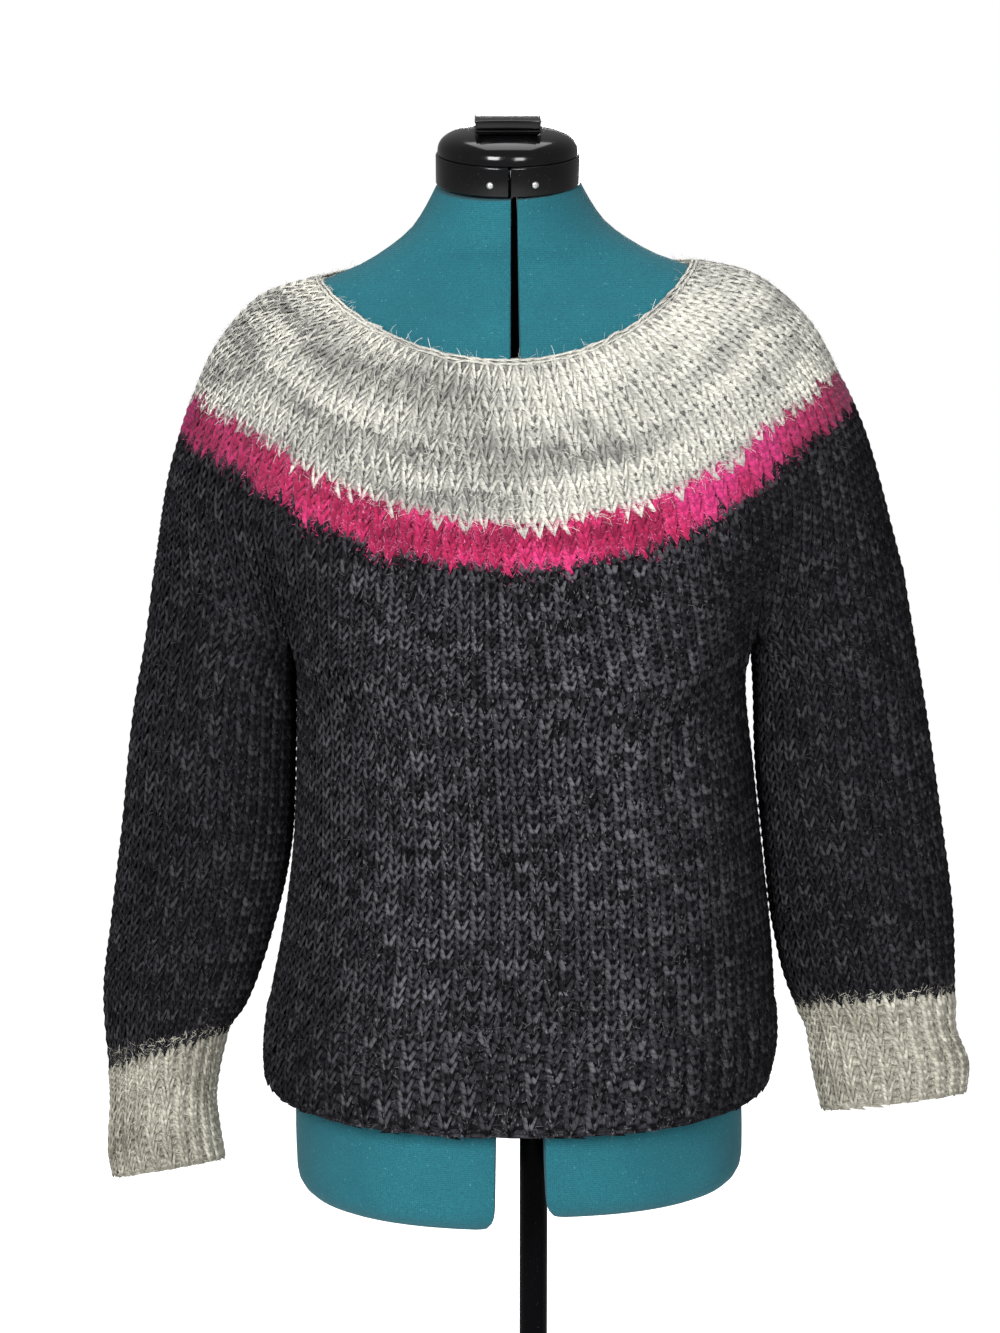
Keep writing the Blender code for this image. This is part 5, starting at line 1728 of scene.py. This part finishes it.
    def build(self, groups: ShaderGroups) -> None:
        """Build the covered halves and the fittings, and finish the stand's CAD nodes."""
        cover = Jersey("teal_jersey", deep=(0.012, 0.08, 0.104), body=(0.024, 0.196, 0.243),
                       lint=(0.12, 0.36, 0.42)).material(groups)
        black = Moulded("gloss_black", (0.003, 0.003, 0.0035), 0.1, 0.2, coat=0.1,
                        specular=0.3).material(groups)
        steel = Moulded("bright_screw", (0.55, 0.55, 0.54), 0.3, 0.45,
                        metallic=0.8).material(groups)
        matt = Moulded("matt_black", (0.006, 0.006, 0.007), 0.5, 0.65, pebble=0.0003,
                       specular=0.15)
        paint = Moulded("black_paint", (0.0015, 0.0015, 0.002), 0.38, 0.52, pebble=0.0001,
                        specular=0.03).material(groups)
        self.half("form_left", Side.LEFT, cover)
        self.half("form_right", Side.RIGHT, cover)
        self.build_neck(black, steel)
        self.shade_slot(paint)
        for material, nodes in ((matt.material(groups), ("carrier", "collar")),
                                (paint, ("pole", "base"))):
            for node in nodes:
                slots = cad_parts[node].data.materials
                if not slots:
                    slots.append(material)
                for index in range(len(slots)):
                    slots[index] = material
        LOG.info("dress form: halves, ring, cap, knob, screws and stand")


def fix_normals(piece: Piece) -> None:
    """Turn a closed mesh's faces outwards."""
    build = bmesh.new()
    build.from_mesh(piece.data)
    bmesh.ops.recalc_face_normals(build, faces=build.faces)
    build.to_mesh(piece.data)
    build.free()
    piece.data.set_sharp_from_angle(angle=math.radians(40.0))


def swept(name: str, profile: Sequence[tuple[float, float]], steps: int, start: float = 0.0,
          stop: float = 0.0) -> Piece:
    """Turn a profile round Z.

    Args:
        name: the piece's name.
        profile: radius and height pairs; a closed loop, or a line from the axis to the axis.
        steps: rows round the axis.
        start: the first angle.
        stop: the last angle, or the same as the first for a whole turn.

    Returns:
        A closed piece, with its ends capped where the turn isn't whole.
    """
    whole = start == stop
    angles = start + np.arange(steps) * (2 * math.pi if whole else stop - start) \
        / (steps if whole else steps - 1)
    build = bmesh.new()
    rows = []
    for angle in angles:
        rows.append([build.verts.new((r * math.cos(angle), r * math.sin(angle), z))
                     for r, z in profile])
    count = len(profile)
    for near, far in zip(rows, rows[1:] + (rows[:1] if whole else [])):
        for k in range(count - (1 if whole else 0)):
            n = (k + 1) % count
            build.faces.new((near[k], far[k], far[n], near[n]))
    if not whole:
        build.faces.new(rows[0])
        build.faces.new(rows[-1])
    bmesh.ops.remove_doubles(build, verts=build.verts, dist=0.00001)
    bmesh.ops.dissolve_degenerate(build, edges=build.edges, dist=0.000001)
    return closed_piece(name, build, 40.0)


def tapered_block(name: str, size: Sequence[float], taper: float, bevel: float) -> Piece:
    """A bevelled block, centred, whose underside is smaller than its top."""
    build = bmesh.new()
    bmesh.ops.create_cube(build, size=1.0)
    for corner in build.verts:
        share = taper if corner.co.z < 0 else 1.0
        corner.co = Vector((corner.co.x * size[0] * share, corner.co.y * size[1] * share,
                            corner.co.z * size[2]))
    bmesh.ops.bevel(build, geom=build.edges[:], offset=bevel, segments=4, affect="EDGES",
                    profile=0.5, clamp_overlap=True)
    return closed_piece(name, build, 35.0)


def cross_head(name: str, radius: float) -> Piece:
    """A domed screw head with a cross recess, standing on z = 0."""
    count, foot, dome, deep = 9, 0.0006, 0.0015, 0.0007
    build = bmesh.new()
    bmesh.ops.create_grid(build, x_segments=count, y_segments=count, size=1.0)
    for corner in build.verts:
        x, y = corner.co.x, corner.co.y
        round_x = x * math.sqrt(1 - y * y / 2)
        round_y = y * math.sqrt(1 - x * x / 2)
        share = min(1.0, math.hypot(round_x, round_y))
        corner.co = Vector((round_x * radius, round_y * radius,
                            foot + (dome - foot) * math.sqrt(max(0.0, 1 - share ** 2))))
    reach, half = 0.62 * radius, 0.14 * radius
    cross = []
    for face in build.faces:
        near, far = sorted(abs(value) for value in face.calc_center_median()[:2])
        if near < half and far < reach:
            cross.append(face)
    lowered = bmesh.ops.extrude_face_region(build, geom=cross)
    bmesh.ops.delete(build, geom=cross, context="FACES_ONLY")
    for item in lowered["geom"]:
        if isinstance(item, bmesh.types.BMVert):
            item.co.z -= deep
    rim = [edge for edge in build.edges if edge.is_boundary]
    skirt = bmesh.ops.extrude_edge_only(build, edges=rim)
    low = [item for item in skirt["geom"] if isinstance(item, bmesh.types.BMVert)]
    for corner in low:
        corner.co.z = 0.0
    bmesh.ops.contextual_create(build, geom=[item for item in skirt["geom"]
                                             if isinstance(item, bmesh.types.BMEdge)])
    return closed_piece(name, build, 35.0)


# The studio


@dataclass(frozen=True)
class Softbox:
    """A rectangular soft light: its place, what it faces, its size and its power."""

    name: str
    place: Vec3
    target: Vec3
    size: tuple[float, float]
    power: float

    def build(self) -> None:
        """Hang the light."""
        light = bpy.data.lights.new(self.name, "AREA")
        light.shape = "RECTANGLE"
        light.size, light.size_y = self.size
        light.energy = self.power
        made = add_object(self.name, light)
        way = Vector(self.target) - Vector(self.place)
        made.location = self.place
        made.rotation_euler = way.to_track_quat("-Z", "Y").to_euler()


@dataclass(frozen=True)
class Studio:
    """A white studio: the camera, two softboxes in front, a fill from above and a pale floor."""

    eye: Vec3 = (-0.0261, -1.8, 1.3)
    pitch: float = math.radians(7.4)
    lens: float = 70.03
    sensor: float = 36.0
    sky: float = 1.0  # brightness of the surround to the camera
    ambient: float = 0.24  # and as light on the object
    floor_glow: float = 0.80
    floor_radius: float = 12.0
    floor_sides: int = 64
    floor_sink: float = 0.0005
    white: tuple[float, ...] = (1.0,) * 4
    boxes: tuple[Softbox, ...] = (
        Softbox("softbox_left", (-0.9, -2.1, 1.9), (0.0, 0.0, 1.08), (0.7, 0.9), 58.0),
        Softbox("softbox_right", (0.7, -2.2, 1.7), (0.0, 0.0, 1.08), (0.6, 0.8), 30.0),
        Softbox("softbox_above", (0.0, 0.3, 3.0), (0.0, 0.0, 1.2), (1.2, 1.2), 16.0),
        Softbox("softbox_behind", (0.3, 2.3, 1.7), (0.0, 0.0, 1.08), (0.9, 0.9), 34.0),
    )

    def build_camera(self) -> None:
        """The camera at the photograph's viewing angle."""
        camera = bpy.data.cameras.new("camera")
        camera.sensor_fit = "VERTICAL"
        camera.sensor_height = self.sensor
        camera.lens = self.lens
        camera.clip_end = 50.0
        made = add_object("camera", camera)
        made.location = self.eye
        made.rotation_euler = (math.pi / 2 - self.pitch, 0.0, 0.0)
        bpy.context.scene.camera = made

    def build(self) -> None:
        """Set the camera, the lights, the white surround and the floor."""
        self.build_camera()
        world = bpy.data.worlds.new("white_studio")
        world.use_nodes = True
        graph = Graph(world.node_tree)
        back = world.node_tree.nodes["Background"]
        back.inputs["Color"].default_value = self.white
        seen = graph.node("ShaderNodeLightPath").outputs["Is Camera Ray"]
        graph.feed(back.inputs["Strength"],
                   graph.math("MULTIPLY_ADD", seen, self.sky - self.ambient, self.ambient))
        bpy.context.scene.world = world
        bpy.context.scene.view_settings.view_transform = "Standard"
        for box in self.boxes:
            box.build()
        turn = np.linspace(0, 2 * math.pi, self.floor_sides, endpoint=False)
        rim = np.stack([np.cos(turn), np.sin(turn), np.zeros(len(turn))], -1) * self.floor_radius
        floor = new_piece("studio_floor", rim - np.array([0, 0, self.floor_sink]),
                          [list(range(len(turn)))], False)
        made, graph, shader = principled("studio_paper", Roughness=0.9, Emission_Color=self.white)
        tone = graph.blend(graph.noise(graph.place(), 3.0), (0.9, 0.9, 0.9), (0.94, 0.94, 0.94))
        graph.feed(shader["Base Color"], tone)
        seen = graph.node("ShaderNodeLightPath").outputs["Is Camera Ray"]
        graph.feed(shader["Emission Strength"], graph.math("MULTIPLY", seen, self.floor_glow))
        floor.data.materials.append(made)
        LOG.info("studio: camera, %d softboxes and floor", len(self.boxes))


def main() -> None:
    """Build the studio, the dress form and the pullover, in that order."""
    logging.basicConfig(level=logging.INFO, format="%(message)s")
    groups = ShaderGroups()
    Studio().build()
    DressForm().build(groups)
    Pullover(groups).build()


if __name__ == "__main__":
    main()
